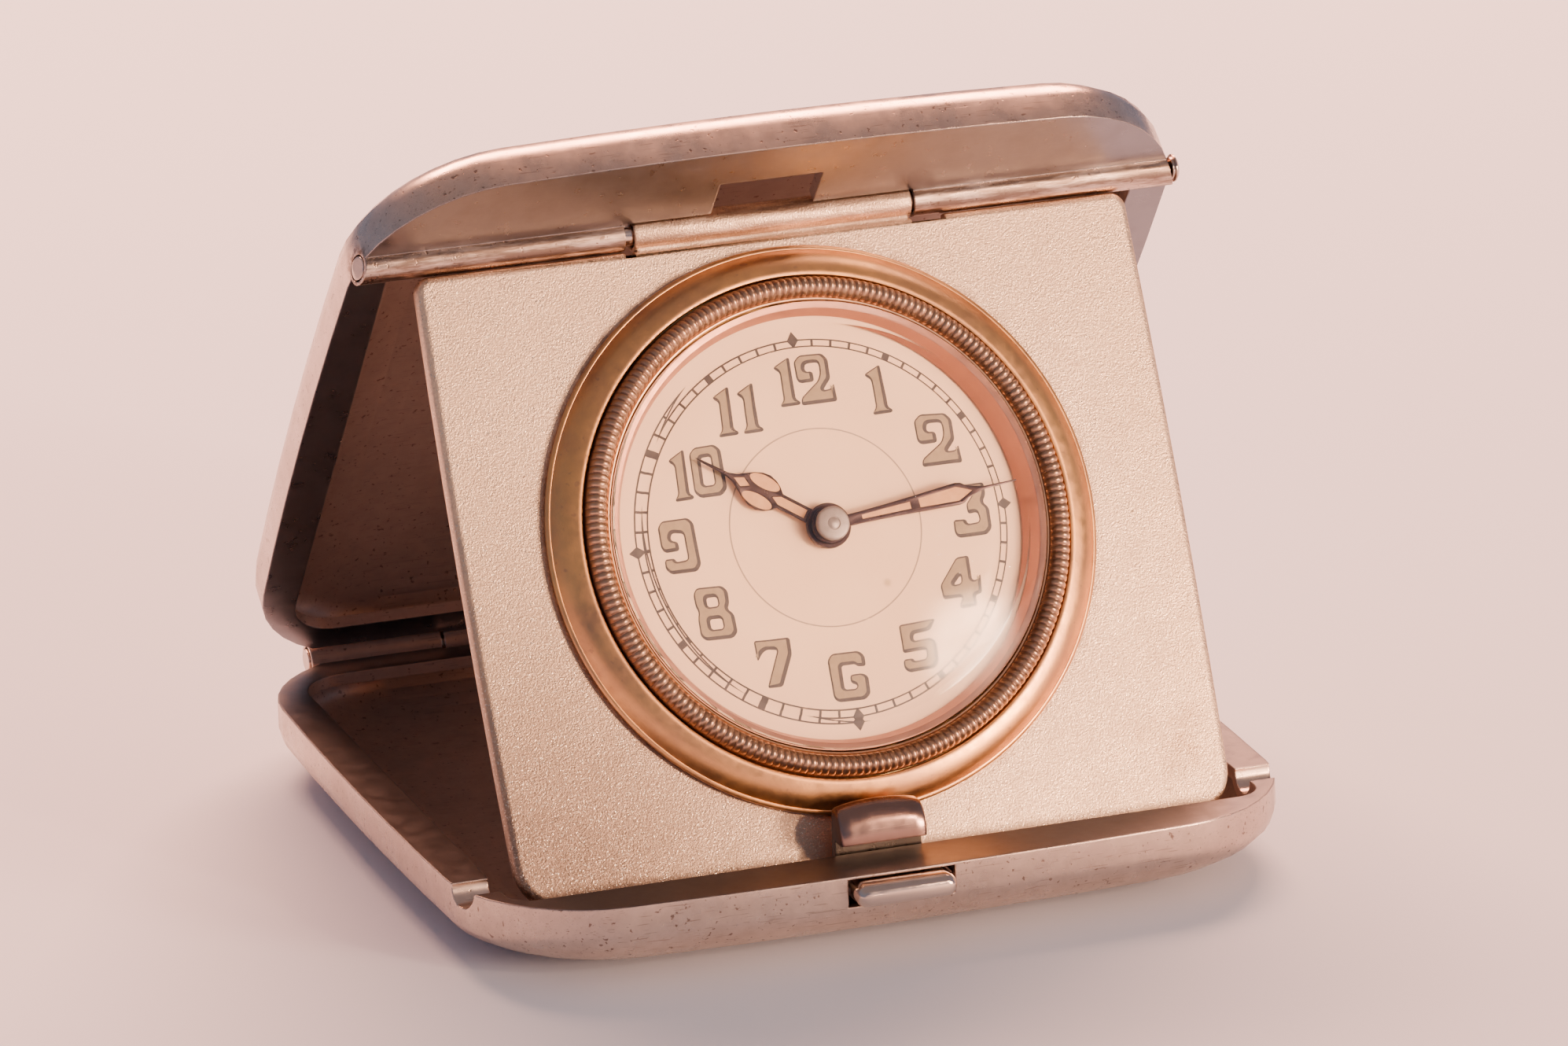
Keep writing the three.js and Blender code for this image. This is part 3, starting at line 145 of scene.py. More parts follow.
# The clock front, in millimetres: radii from the middle of the dial, heights above the plate's middle.
# Steps are (outwards, up) from a corner of a profile.
ROUND_STEPS = 192
RING_OUTER = 21.1
RING_INNER = 18.6
RING_FOOT = 0.8
RING_TOP = 2.5
RING_EDGE = [(-0.12, 0.0), (0.0, 0.14), (0.0, 0.34), (-0.1, 0.46), (-0.24, 0.52)]
RING_SLOPE = [(RING_OUTER - 0.32, RING_FOOT + 0.50), (RING_INNER + 0.45, RING_TOP - 0.04)]
RING_SLOPE_STEPS = 12
RING_BELLY = 0.20
RING_BELLY_LEAN = 0.6
RING_LIP = [(0.25, 0.0), (0.08, -0.05), (0.0, -0.2)]
BEZEL_OUTER = 18.5
BEZEL_MOUTH = 16.7
BEZEL_FOOT = 1.6
BEZEL_TOP = 3.7
BEZEL_SIDE_TOP = 2.35
BEZEL_UNDERCUT = [(0.0, 0.9), (0.4, 0.0)]
BEZEL_LIP = [(0.22, 2.72), (0.14, 2.86), (0.04, 2.84), (0.0, 2.72)]
BEAD_HEIGHT = 2.55
BEAD_OUTWARDS = 0.12
BEAD_MARGIN = 0.14
BEAD_SUNK = 0.02
BEAD_SWEEP = 172
BEAD_STEPS = 10
RIB_COUNT = 216
RIB_DEPTH = 0.12
RIB_FACES = 7
RIB_TWIST = 0.8
RIB_FADE = 0.35
GROOVE_CUT = 0.86
CRYSTAL_RADIUS = 16.5
CRYSTAL_FLAT = 14.6
CRYSTAL_FOOT = 2.6
CRYSTAL_EDGE = 3.35
CRYSTAL_TOP = 5.1
CRYSTAL_DOME = 0.6
CRYSTAL_STEPS = 14
CRYSTAL_THICKNESS = 0.9
CRYSTAL_LIP = 0.4
CRYSTAL_SHOULDER = (0.18, -0.05)
CRYSTAL_CHAMFER = (-0.10, 0.06)
CRYSTAL_BACK = [CRYSTAL_FLAT - 0.15, CRYSTAL_FLAT * 0.7, CRYSTAL_FLAT * 0.3, 0]
REHAUT = [
    (16.25, 1.4), (16.55, 1.4), (16.6, 1.5), (16.62, 2.4), (16.55, 2.5),
    (15.95, 2.5), (15.86, 2.47), (15.82, 2.38), (15.3, 1.46), (15.34, 1.40),
]
DIAL_RADIUS = 16.3
DIAL_BORE = 0.9
DIAL_MIDWAY = 8.0
DIAL_EDGE = 0.04
DIAL_BACK = 0.9
DIAL_FACE = 1.3

# Print and paint on the dial
INK = 0.012
PAINT = 0.035
TICK_INK = 1.2 * INK
DIAMOND_INK = 1.5 * INK
TRACK_OUTER = 14.14
TRACK_INNER = 13.60
RAIL_WIDTH = 0.11
TICK_WIDTH = 0.19
MARK_WIDTH = 0.54
DIAMOND_LENGTH = 1.25
DIAMOND_WIDTH = 0.9
CHAPTER_RADIUS = 7.26
CHAPTER_WIDTH = 0.10
NUMERAL_CORNER = 0.13
FILL_INSET = 0.20
FILL_SHIFT = (-0.09, 0.08)

# The hands: clockwise angles from twelve, then heights, and profiles of (radius, height)
HOUR_ANGLE = 304.5
MINUTE_ANGLE = 84.3
HOUR_HEIGHTS = (1.70, 1.92)
HOUR_LUME_HEIGHTS = (1.74, 1.87)
MINUTE_HEIGHTS = (2.25, 2.47)
MINUTE_LUME_HEIGHTS = (2.29, 2.42)
HAND_EDGE = 0.04
LUME_OVERLAP = 0.05
HUB_STEPS = 72
HOUR_BOSS = [(0.75, 1.68), (1.60, 1.68), (1.66, 1.74), (1.66, 2.08), (1.60, 2.14), (0.75, 2.14)]
MINUTE_BOSS = [(0.4, 2.22), (1.36, 2.22), (1.42, 2.28), (1.42, 2.62), (1.36, 2.68), (0.4, 2.68)]
HAND_CAP = [
    (0, 2.69), (1.22, 2.69), (1.25, 2.75), (1.25, 3.06), (1.18, 3.14), (1.05, 3.17),
    (0.52, 3.19), (0.47, 3.15), (0.43, 3.15), (0.38, 3.19), (0, 3.20),
]

# Colours, each with a second tone that clouds it
SILVER = (0.76, 0.58, 0.48), (0.34, 0.24, 0.19)
# Darker silver for faces towards each shell's cavity: partly tarnish, partly painted shade
INSIDE_TARNISH_AND_SHADE = (0.51, 0.39, 0.335), (0.31, 0.23, 0.195)
BRIGHT_SILVER = (0.66, 0.53, 0.45), (0.36, 0.26, 0.21)
TONGUE_SILVER = (0.31, 0.195, 0.16), (0.20, 0.12, 0.095)
# Painted shade for the tongue's neck and the underside of its nose, where the nose shades them
NECK_PAINTED_SHADE = (0.15, 0.13, 0.11), (0.06, 0.045, 0.04)
# Darker, greyer silver for the shells' flat rims: partly tarnish, partly painted shade
RIM_TARNISH_AND_SHADE = (0.25, 0.25, 0.275), (0.17, 0.155, 0.16)
BASE_RIM_TARNISH_AND_SHADE = (0.24, 0.21, 0.21), (0.16, 0.135, 0.13)
PLATE_SILVER = (0.94, 0.68, 0.47), (0.74, 0.51, 0.35)
GILT = (0.86, 0.45, 0.175), (0.34, 0.19, 0.145)
RIBBED_GILT = (0.60, 0.37, 0.23), (0.36, 0.21, 0.145)
# Painted shade for the deepest faces of the bezel's grooves
GROOVE_SHADE_GILT = (0.34, 0.21, 0.145), (0.18, 0.105, 0.075)
COPPER = (0.46, 0.24, 0.17), (0.36, 0.17, 0.12)
BRASS = (0.70, 0.52, 0.24), (0.42, 0.26, 0.10)
STEEL = (0.55, 0.54, 0.54), (0.30, 0.28, 0.27)
BLUED_STEEL = (0.06, 0.035, 0.035), (0.02, 0.014, 0.02)
CAP_STEEL = (0.30, 0.26, 0.25), (0.20, 0.17, 0.165)
CREAM = (0.95, 0.66, 0.45), (0.88, 0.58, 0.38)
DARK_INK = (0.030, 0.020, 0.022), (0.09, 0.06, 0.05)
PALE_INK = (0.36, 0.26, 0.20), (0.45, 0.33, 0.26)
NUMERAL_PAINT = (0.36, 0.265, 0.165), (0.25, 0.18, 0.115)
LUME = (0.66, 0.37, 0.18), (0.50, 0.24, 0.10)
GLASS = (1.0, 0.985, 0.965), (0.97, 0.94, 0.91)
CARD = (0.76, 0.82, 0.95), (0.73, 0.79, 0.92)

# Stains, a darker band round the ring's foot, and the painted shade of the plate's lower-left corner
PIT_BROWN = (0.16, 0.10, 0.08)
DENT_BROWN = (0.20, 0.13, 0.10)
STREAK_BROWN = (0.17, 0.11, 0.08)
PLATE_STREAK_BROWN = (0.24, 0.15, 0.11)
# Painted shade, with some tarnish, for the plate's lower-left corner
CORNER_SHADE_BROWN = (0.18, 0.125, 0.095)
FROST_BROWN = (0.50, 0.34, 0.25)
SPARKLE_WHITE = (1.0, 0.86, 0.68)
# A darker band on the plate round the ring's foot
RING_FOOT_BROWN = (0.30, 0.19, 0.14)
CORNER_BROWN = (0.42, 0.26, 0.17)
SPECK_BROWN = (0.35, 0.24, 0.19)
DIAL_SPECK_BROWN = (0.42, 0.28, 0.20)
DIAL_SPOT_BROWN = (0.40, 0.24, 0.10)
DIAL_RIM_BROWN = (0.55, 0.40, 0.31)

# Where wear, stains, the ring's darker band and the plate's painted shade sit, in millimetres on the dial's
# axes and above the plate's middle
STAINED_CORNER = (24.6, -19.0, 0.6)
SHADED_CORNER = (-27.0, -27.0, 0.6)
DIAL_SPOT = (3.9, -4.6, DIAL_FACE)
GLASS_SCUFF = (9.0, -10.8, CRYSTAL_TOP)
RING_FOOT_WIDTH = 0.9

GLASS_IOR = 1.49
CARD_ROUGHNESS = 0.7
# Nearly all of a noise lies between these
NOISE_LOW = 0.3
NOISE_HIGH = 0.7


def dial_matrix():
    """From millimetres on the dial to the object's frame."""
    centre = Vector(joints["minute_turn"]["pos_m"])
    normal = -Vector(joints["minute_turn"]["axis"]).normalized()
    up = normal.cross(ACROSS)
    rotation = Matrix((ACROSS, up, normal)).transposed().to_4x4()
    return Matrix.Translation(centre) @ rotation @ Matrix.Scale(MM, 4)


DIAL = dial_matrix()


# Shader graphs


def add(tree, kind, inputs, **settings):
    """One node, its settings, and its inputs by name or number, each a constant or another node's output."""
    node = tree.nodes.new("ShaderNode" + kind)
    for name, value in settings.items():
        setattr(node, name, value)
    for key, value in inputs.items():
        socket = node.inputs[key]
        if isinstance(value, bpy.types.NodeSocket):
            tree.links.new(value, socket)
        elif isinstance(value, tuple) and socket.type == "RGBA":
            socket.default_value = (*value, 1.0)
        else:
            socket.default_value = value
    return node


def object_point(tree, stretch=(1.0, 1.0, 1.0), turn=(0.0, 0.0, 0.0)):
    place = add(tree, "TexCoord", {})
    inputs = {"Vector": place.outputs["Object"], "Scale": stretch, "Rotation": turn}
    return add(tree, "Mapping", inputs).outputs[0]


def noise(tree, point, mm, detail=3.0, rough=0.55):
    """Noise whose features are about this many millimetres across."""
    inputs = {"Vector": point, "Scale": 1 / (mm * MM), "Detail": detail, "Roughness": rough}
    return add(tree, "TexNoise", inputs).outputs[0]


def spread(tree, value, low, high, to_low=0.0, to_high=1.0):
    inputs = {"Value": value, "From Min": low, "From Max": high, "To Min": to_low, "To Max": to_high}
    return add(tree, "MapRange", inputs).outputs[0]


def patches(tree, point, mm, low, high, detail=3.0, rough=0.55):
    """A mask of noise, 0 where the noise is under low and 1 where it is over high."""
    return spread(tree, noise(tree, point, mm, detail, rough), low, high)


def uneven(tree, point, mm, low, high, detail=3.0, rough=0.6):
    """A value that drifts between low and high."""
    return spread(tree, noise(tree, point, mm, detail, rough), NOISE_LOW, NOISE_HIGH, low, high)


def blend(tree, share, first, second):
    return add(tree, "Mix", {0: share, 6: first, 7: second}, data_type="RGBA").outputs[2]


def arithmetic(tree, operation, first, second):
    return add(tree, "Math", {0: first, 1: second}, operation=operation).outputs[0]


def vector_math(tree, operation, *values):
    return add(tree, "VectorMath", dict(enumerate(values)), operation=operation).outputs


def stained(tree, colour, stain, mask, share):
    """The colour, covered by a share of the stain where the mask is 1."""
    return blend(tree, arithmetic(tree, "MULTIPLY", mask, share), colour, stain)


def around(tree, point, place, near_mm, far_mm, inside=1.0, outside=0.0):
    """A round mask: inside up to near_mm from a place on the dial's axes, outside past far_mm."""
    away = vector_math(tree, "DISTANCE", point, tuple(DIAL @ Vector(place)))["Value"]
    return spread(tree, away, near_mm * MM, far_mm * MM, inside, outside)


def raised(tree, height, depth_mm, under=None, strength=1.0):
    """A bump over another normal. A negative depth sinks it."""
    inputs = {"Height": height, "Strength": strength, "Distance": abs(depth_mm) * MM}
    if under is not None:
        inputs["Normal"] = under
    return add(tree, "Bump", inputs, invert=depth_mm < 0).outputs[0]


def rounded_normal(tree, radius_mm):
    return add(tree, "Bevel", {"Radius": radius_mm * MM}, samples=4).outputs[0]


def edge_share(tree, rounded, reach):
    """0 on open surface, 1 along an edge that wear has rounded."""
    flat = add(tree, "NewGeometry", {}).outputs["Normal"]
    facing = vector_math(tree, "DOT_PRODUCT", rounded, flat)["Value"]
    return spread(tree, facing, 1.0 - reach, 1.0, 1.0, 0.0)


def scratches(tree, turn, length_mm, width_mm, share, softness=0.03):
    """Thin bright lines along one direction."""
    point = object_point(tree, (1.0, length_mm / width_mm, length_mm / width_mm), turn)
    return patches(tree, point, length_mm, 1.0 - share, 1.0 - share + softness, detail=1.0, rough=0.3)


def hinge_streaks(tree):
    """Dark streaks along the plate hinge's tubes, from 0 to 1. The tubes lie along X."""
    axis = tuple(joints["plate_hinge"]["pos_m"])
    away = vector_math(tree, "SUBTRACT", object_point(tree), axis)[0]
    flat = vector_math(tree, "MULTIPLY", away, (0.0, 1.0, 1.0))[0]
    reach = vector_math(tree, "LENGTH", flat)["Value"]
    near = spread(tree, reach, 1.30 * MM, 1.95 * MM, 1.0, 0.0)
    drawn_out = object_point(tree, stretch=(0.12, 1.0, 1.0))
    lines = patches(tree, drawn_out, mm=0.7, low=0.40, high=0.56, detail=4.0, rough=0.7)
    return arithmetic(tree, "MULTIPLY", near, lines)


def start(name):
    """A material, its tree, its shader, and the place that is being shaded."""
    material = bpy.data.materials.new(name)
    material.use_nodes = True
    tree = material.node_tree
    return material, tree, tree.nodes["Principled BSDF"], object_point(tree)


def finish_shader(tree, shader, colour, rough, normal, metallic=1.0):
    tree.links.new(colour, shader.inputs["Base Color"])
    tree.links.new(rough, shader.inputs["Roughness"])
    tree.links.new(normal, shader.inputs["Normal"])
    shader.inputs["Metallic"].default_value = metallic


def worn_silver(name, base, tarnish, rough, cover=0.5, metallic=1.0):
    """Satin silver: cloudy tarnish, pits, hair scratches, and edges rubbed bright."""
    material, tree, shader, point = start(name)
    clouds = patches(tree, point, mm=14.0, low=cover - 0.12, high=cover + 0.22, detail=4.0, rough=0.6)
    colour = stained(tree, base, tarnish, clouds, share=0.32)
    mottle = patches(tree, point, mm=1.1, low=0.35, high=0.68, detail=5.0, rough=0.7)
    colour = stained(tree, colour, tarnish, mottle, share=0.26)
    pits = patches(tree, point, mm=0.42, low=0.66, high=0.71, detail=2.0, rough=0.5)
    colour = stained(tree, colour, PIT_BROWN, pits, share=0.75)
    slanted = object_point(tree, stretch=(1.0, 2.4, 1.0), turn=(0.3, 0.5, 0.6))
    dents = patches(tree, slanted, mm=0.8, low=0.74, high=0.77, detail=1.0, rough=0.5)
    colour = stained(tree, colour, DENT_BROWN, dents, share=0.7)
    cuts = scratches(tree, turn=(0.4, 0.9, 1.3), length_mm=2.4, width_mm=0.10, share=0.32)
    colour = stained(tree, colour, tarnish, cuts, share=0.6)
    colour = stained(tree, colour, STREAK_BROWN, hinge_streaks(tree), share=0.85)
    rounded = rounded_normal(tree, radius_mm=0.14)
    rubbed = edge_share(tree, rounded, reach=0.10)
    polish = tuple(min(1.0, channel * 1.12) for channel in base)
    colour = stained(tree, colour, polish, rubbed, share=0.3)
    satin = uneven(tree, point, mm=3.5, low=rough - 0.06, high=rough + 0.08, detail=4.0, rough=0.65)
    satin = arithmetic(tree, "SUBTRACT", satin, arithmetic(tree, "MULTIPLY", rubbed, 0.10))
    lines = scratches(tree, turn=(0.3, 0.2, 0.5), length_mm=9.0, width_mm=0.16, share=0.30)
    cross = scratches(tree, turn=(1.1, 0.7, 2.2), length_mm=7.0, width_mm=0.14, share=0.29)
    marks = arithmetic(tree, "MAXIMUM", lines, cross)
    wave = noise(tree, point, mm=6.0, detail=2.0, rough=0.5)
    normal = raised(tree, pits, depth_mm=-0.012, under=rounded, strength=0.4)
    normal = raised(tree, marks, depth_mm=0.004, under=normal, strength=0.25)
    normal = raised(tree, wave, depth_mm=0.12, under=normal, strength=0.25)
    finish_shader(tree, shader, colour, satin, normal, metallic)
    return material


def plate_colour(tree, point, sparkle, specks):
    """Frosted silver with a lower-left corner darkened by painted shade and some tarnish, a darker band round
    the ring's foot, streaked tubes and a stain.
    """
    clouds = patches(tree, point, mm=16.0, low=0.36, high=0.66)
    colour = stained(tree, *PLATE_SILVER, clouds, share=0.22)
    # The lower-left corner darkened: painted shade with some tarnish
    corner_shade = around(tree, point, SHADED_CORNER, near_mm=8.0, far_mm=38.0, inside=0.95)
    colour = blend(tree, corner_shade, colour, CORNER_SHADE_BROWN)
    frost = patches(tree, point, mm=0.20, low=0.36, high=0.64, detail=3.0, rough=0.75)
    colour = stained(tree, colour, FROST_BROWN, frost, share=0.5)
    colour = stained(tree, colour, SPARKLE_WHITE, sparkle, share=0.5)
    colour = stained(tree, colour, PLATE_STREAK_BROWN, hinge_streaks(tree), share=0.6)
    ragged = noise(tree, point, mm=2.2, detail=4.0, rough=0.65)
    # A ragged darker band on the plate round the ring's foot
    line = around(tree, point, (0, 0, 0), near_mm=RING_OUTER, far_mm=RING_OUTER + RING_FOOT_WIDTH)
    ring_foot_band = arithmetic(tree, "MULTIPLY", line, spread(tree, ragged, 0.42, 0.62))
    colour = stained(tree, colour, RING_FOOT_BROWN, ring_foot_band, share=0.62)
    corner = around(tree, point, STAINED_CORNER, near_mm=0.5, far_mm=4.2)
    stain = arithmetic(tree, "MULTIPLY", corner, spread(tree, ragged, 0.40, 0.66))
    colour = stained(tree, colour, CORNER_BROWN, stain, share=0.6)
    return stained(tree, colour, SPECK_BROWN, specks, share=0.45)


def plate_silver(name):
    """Frosted silver that sparkles, with fine specks and long hair scratches."""
    material, tree, shader, point = start(name)
    sparkle = patches(tree, point, mm=0.15, low=0.60, high=0.70, detail=1.0, rough=0.5)
    specks = patches(tree, point, mm=0.5, low=0.72, high=0.76, detail=2.0, rough=0.5)
    lines = scratches(tree, turn=(0.9, 0.0, 0.75), length_mm=12.0, width_mm=0.12, share=0.29)
    hair = scratches(tree, turn=(0.3, 1.2, 1.4), length_mm=8.0, width_mm=0.12, share=0.28)
    marks = arithmetic(tree, "MAXIMUM", lines, hair)
    satin = uneven(tree, point, mm=2.0, low=0.36, high=0.48, detail=4.0)
    satin = arithmetic(tree, "SUBTRACT", satin, arithmetic(tree, "MULTIPLY", sparkle, 0.15))
    grain = noise(tree, point, mm=0.16, detail=2.0, rough=0.75)
    wave = noise(tree, point, mm=9.0, detail=2.0, rough=0.5)
    normal = raised(tree, grain, depth_mm=0.04, under=rounded_normal(tree, radius_mm=0.3))
    normal = raised(tree, specks, depth_mm=0.02, under=normal, strength=0.5)
    normal = raised(tree, marks, depth_mm=0.006, under=normal, strength=0.4)
    normal = raised(tree, wave, depth_mm=0.12, under=normal, strength=0.25)
    finish_shader(tree, shader, plate_colour(tree, point, sparkle, specks), satin, normal)
    return material


def polished(name, base, dark, rough):
    """Rubbed bright metal with darker hollows."""
    material, tree, shader, point = start(name)
    hollows = patches(tree, point, mm=3.0, low=0.45, high=0.75, detail=4.0, rough=0.6)
    colour = stained(tree, base, dark, hollows, share=0.35)
    lines = scratches(tree, turn=(0.2, 0.4, 0.3), length_mm=5.0, width_mm=0.1, share=0.31)
    wave = noise(tree, point, mm=1.6, detail=2.0, rough=0.5)
    normal = raised(tree, lines, depth_mm=0.006, under=rounded_normal(tree, radius_mm=0.2), strength=0.4)
    normal = raised(tree, wave, depth_mm=0.04, under=normal, strength=0.3)
    satin = uneven(tree, point, mm=1.2, low=rough - 0.04, high=rough + 0.06)
    finish_shader(tree, shader, colour, satin, normal)
    return material


def plated(name, base, dark, rough, dark_share):
    """Gilt or copper plate, turned smooth, with brown wear and a soft grain."""
    material, tree, shader, point = start(name)
    clouds = patches(tree, point, mm=7.0, low=0.38, high=0.68, detail=5.0, rough=0.62)
    colour = stained(tree, base, dark, clouds, share=dark_share)
    spots = patches(tree, point, mm=0.6, low=0.66, high=0.74, detail=2.0, rough=0.5)
    colour = stained(tree, colour, dark, spots, share=0.4)
    satin = uneven(tree, point, mm=0.9, low=rough - 0.06, high=rough + 0.08, detail=4.0)
    grain = noise(tree, point, mm=0.2, detail=2.0, rough=0.6)
    normal = raised(tree, grain, depth_mm=0.008, strength=0.5)
    finish_shader(tree, shader, colour, satin, normal)
    return material


def dial_paint():
    """Aged cream enamel: faint clouds, fine specks, a darker rim and one brown spot."""
    material, tree, shader, point = start("dial_paint")
    clouds = patches(tree, point, mm=6.0, low=0.35, high=0.7, detail=4.0, rough=0.6)
    colour = stained(tree, *CREAM, clouds, share=0.35)
    specks = patches(tree, point, mm=0.22, low=0.68, high=0.76, detail=2.0, rough=0.6)
    colour = stained(tree, colour, DIAL_SPECK_BROWN, specks, share=0.18)
    spot = around(tree, point, DIAL_SPOT, near_mm=0.12, far_mm=0.42)
    colour = stained(tree, colour, DIAL_SPOT_BROWN, spot, share=0.55)
    rim = around(tree, point, (0, 0, 0), near_mm=14.4, far_mm=16.2, inside=0.0, outside=1.0)
    colour = stained(tree, colour, DIAL_RIM_BROWN, rim, share=0.25)
    satin = uneven(tree, point, mm=1.0, low=0.42, high=0.55)
    grain = noise(tree, point, mm=0.35, detail=3.0, rough=0.6)
    normal = raised(tree, grain, depth_mm=0.008, strength=0.4)
    finish_shader(tree, shader, colour, satin, normal, metallic=0.0)
    return material


def painted(name, base, dark, rough, mm, share=0.5, metallic=0.0):
    """Ink, numeral paint, lume or blued metal: mottled, slightly grainy."""
    material, tree, shader, point = start(name)
    clouds = patches(tree, point, mm, low=0.35, high=0.68, detail=4.0, rough=0.65)
    colour = stained(tree, base, dark, clouds, share)
    satin = uneven(tree, point, mm * 0.6, low=rough - 0.05, high=rough + 0.08, detail=2.0, rough=0.5)
    grain = noise(tree, point, mm * 0.4, detail=3.0, rough=0.6)
    normal = raised(tree, grain, depth_mm=0.01, strength=0.5)
    finish_shader(tree, shader, colour, satin, normal, metallic)
    return material


def glass():
    """Clear, faintly hazy, with hair scratches and a softly worn patch near the five."""
    material, tree, shader, point = start("crystal_glass")
    haze = noise(tree, point, mm=5.0, detail=4.0, rough=0.6)
    worn = around(tree, point, GLASS_SCUFF, near_mm=1.5, far_mm=6.5, inside=0.17)
    smear = arithmetic(tree, "ADD", spread(tree, haze, 0.4, 0.75, to_low=0.015, to_high=0.06), worn)
    tree.links.new(smear, shader.inputs["Roughness"])
    hair = scratches(tree, turn=(0.5, 0.9, 0.4), length_mm=6.0, width_mm=0.08, share=0.27)
    tree.links.new(raised(tree, hair, depth_mm=0.002, strength=0.3), shader.inputs["Normal"])
    tint = blend(tree, spread(tree, haze, 0.3, 0.8), *GLASS)
    tree.links.new(tint, shader.inputs["Base Color"])
    shader.inputs["IOR"].default_value = GLASS_IOR
    shader.inputs["Transmission Weight"].default_value = 1.0
    return material


def floor_card():
    """Plain pale card."""
    material, tree, shader, point = start("floor_card")
    clouds = patches(tree, point, mm=160.0, low=NOISE_LOW, high=NOISE_HIGH, detail=2.0, rough=0.4)
    tree.links.new(blend(tree, clouds, *CARD), shader.inputs["Base Color"])
    grain = noise(tree, point, mm=0.8, detail=3.0, rough=0.6)
    tree.links.new(raised(tree, grain, depth_mm=0.02, strength=0.2), shader.inputs["Normal"])
    shader.inputs["Roughness"].default_value = CARD_ROUGHNESS
    return material


silver = worn_silver("silver", *SILVER, rough=0.28)
# Cavity faces: partly tarnish, partly painted shade
inside = worn_silver("silver_inside_tarnish_and_shade", *INSIDE_TARNISH_AND_SHADE, rough=0.36, cover=0.42, metallic=0.5)
plate_finish = plate_silver("silver_frosted")
bright = polished("polished_silver", *BRIGHT_SILVER, rough=0.14)
tongue_silver = polished("tongue_silver", *TONGUE_SILVER, rough=0.22)
# Painted shade under the tongue's nose
neck_painted_shade = polished("neck_painted_shade", *NECK_PAINTED_SHADE, rough=0.30)
# Flat rims: partly tarnish, partly painted shade
rim_tarnish_and_shade = polished("rim_tarnish_and_shade", *RIM_TARNISH_AND_SHADE, rough=0.30)
base_rim_tarnish_and_shade = polished("base_rim_silver_tarnish_and_shade", *BASE_RIM_TARNISH_AND_SHADE, rough=0.36)
gilt = plated("gilt", *GILT, rough=0.36, dark_share=0.6)
gilt_ribbed = plated("gilt_ribbed", *RIBBED_GILT, rough=0.36, dark_share=0.6)
# Painted shade in the bezel's grooves
groove = plated("gilt_groove_shade", *GROOVE_SHADE_GILT, rough=0.5, dark_share=0.6)
copper = plated("copper", *COPPER, rough=0.38, dark_share=0.4)
cream = dial_paint()
ink = painted("dial_ink", *DARK_INK, rough=0.5, mm=0.3)
pale_ink = painted("dial_ink_pale", *PALE_INK, rough=0.55, mm=0.5)
numeral_paint = painted("numeral_paint", *NUMERAL_PAINT, rough=0.6, mm=0.5, share=0.6)
lume = painted("lume", *LUME, rough=0.6, mm=0.7, share=0.6)
blued = painted("blued_steel", *BLUED_STEEL, rough=0.32, mm=0.6, share=0.6, metallic=0.7)
cap_steel = painted("cap_steel", *CAP_STEEL, rough=0.42, mm=0.4, share=0.6, metallic=0.6)
brass = plated("brass", *BRASS, rough=0.30, dark_share=0.35)
steel = plated("steel", *STEEL, rough=0.25, dark_share=0.3)
crystal_glass = glass()


# Meshes


def link(thing):
    bpy.context.scene.collection.objects.link(thing)


def new_object(name, mesh, materials, body, slot, *nodes):
    """A finished piece: its materials, its body and the solids that it stands for. The slot argument is not
    used.
    A piece given None for its body is tied to no body."""
    piece = bpy.data.objects.new(name, mesh)
    link(piece)
    for material in materials:
        mesh.materials.append(material)
    if body is not None:
        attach(piece, body)
    if nodes:
        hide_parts(*nodes)
    return piece


def smooth(mesh, angle=SMOOTH_ANGLE):
    mesh.polygons.foreach_set("use_smooth", [True] * len(mesh.polygons))
    mesh.set_sharp_from_angle(angle=angle)
    mesh.update()


def outward_mesh(name, bm, matrix):
    """The mesh that was drawn, its faces turned outwards, put in its place."""
    bmesh.ops.recalc_face_normals(bm, faces=bm.faces)
    mesh = bpy.data.meshes.new(name)
    bm.to_mesh(mesh)
    bm.free()
    mesh.transform(matrix)
    return mesh


def strip(bm, first, second):
    """Faces between two closed rings of corners."""
    count = len(first)
    faces = []
    for i in range(count):
        j = (i + 1) % count
        faces.append(bm.faces.new((first[i], first[j], second[j], second[i])))
    return faces


def welded(source):
    """The solid's own faces with shared corners and flat areas joined."""
    bm = bmesh.new()
    bm.from_mesh(source.data)
    bmesh.ops.remove_doubles(bm, verts=bm.verts, dist=WELD)
    bmesh.ops.dissolve_limit(bm, angle_limit=COPLANAR_ANGLE, verts=bm.verts, edges=bm.edges)
    bm.normal_update()
    bm.verts.index_update()
    points = [vert.co.copy() for vert in bm.verts]
    faces = [[vert.index for vert in face.verts] for face in bm.faces]
    bm.free()
    mesh = bpy.data.meshes.new(source.name + "_skin")
    mesh.from_pydata(points, [], faces)
    return mesh


def sort_shell_faces(mesh, cavity, rim):
    """The second material on faces that look towards the cavity, the third on the flat rim,
    which looks along the rim's direction near the shell's highest level that way."""
    level = max(vert.co.dot(rim) for vert in mesh.vertices)
    for face in mesh.polygons:
        flat = face.normal.dot(rim) > RIM_FACING
        towards = (cavity - face.center).normalized()
        # Flat rim faces take the darker rim silver, partly tarnish and partly painted shade
        if flat and face.center.dot(rim) > level - RIM_REACH:
            face.material_index = 2
        # Faces towards the cavity take the darker silver, partly tarnish and partly painted shade
        elif face.normal.dot(towards) > CAVITY_FACING:
            face.material_index = 1


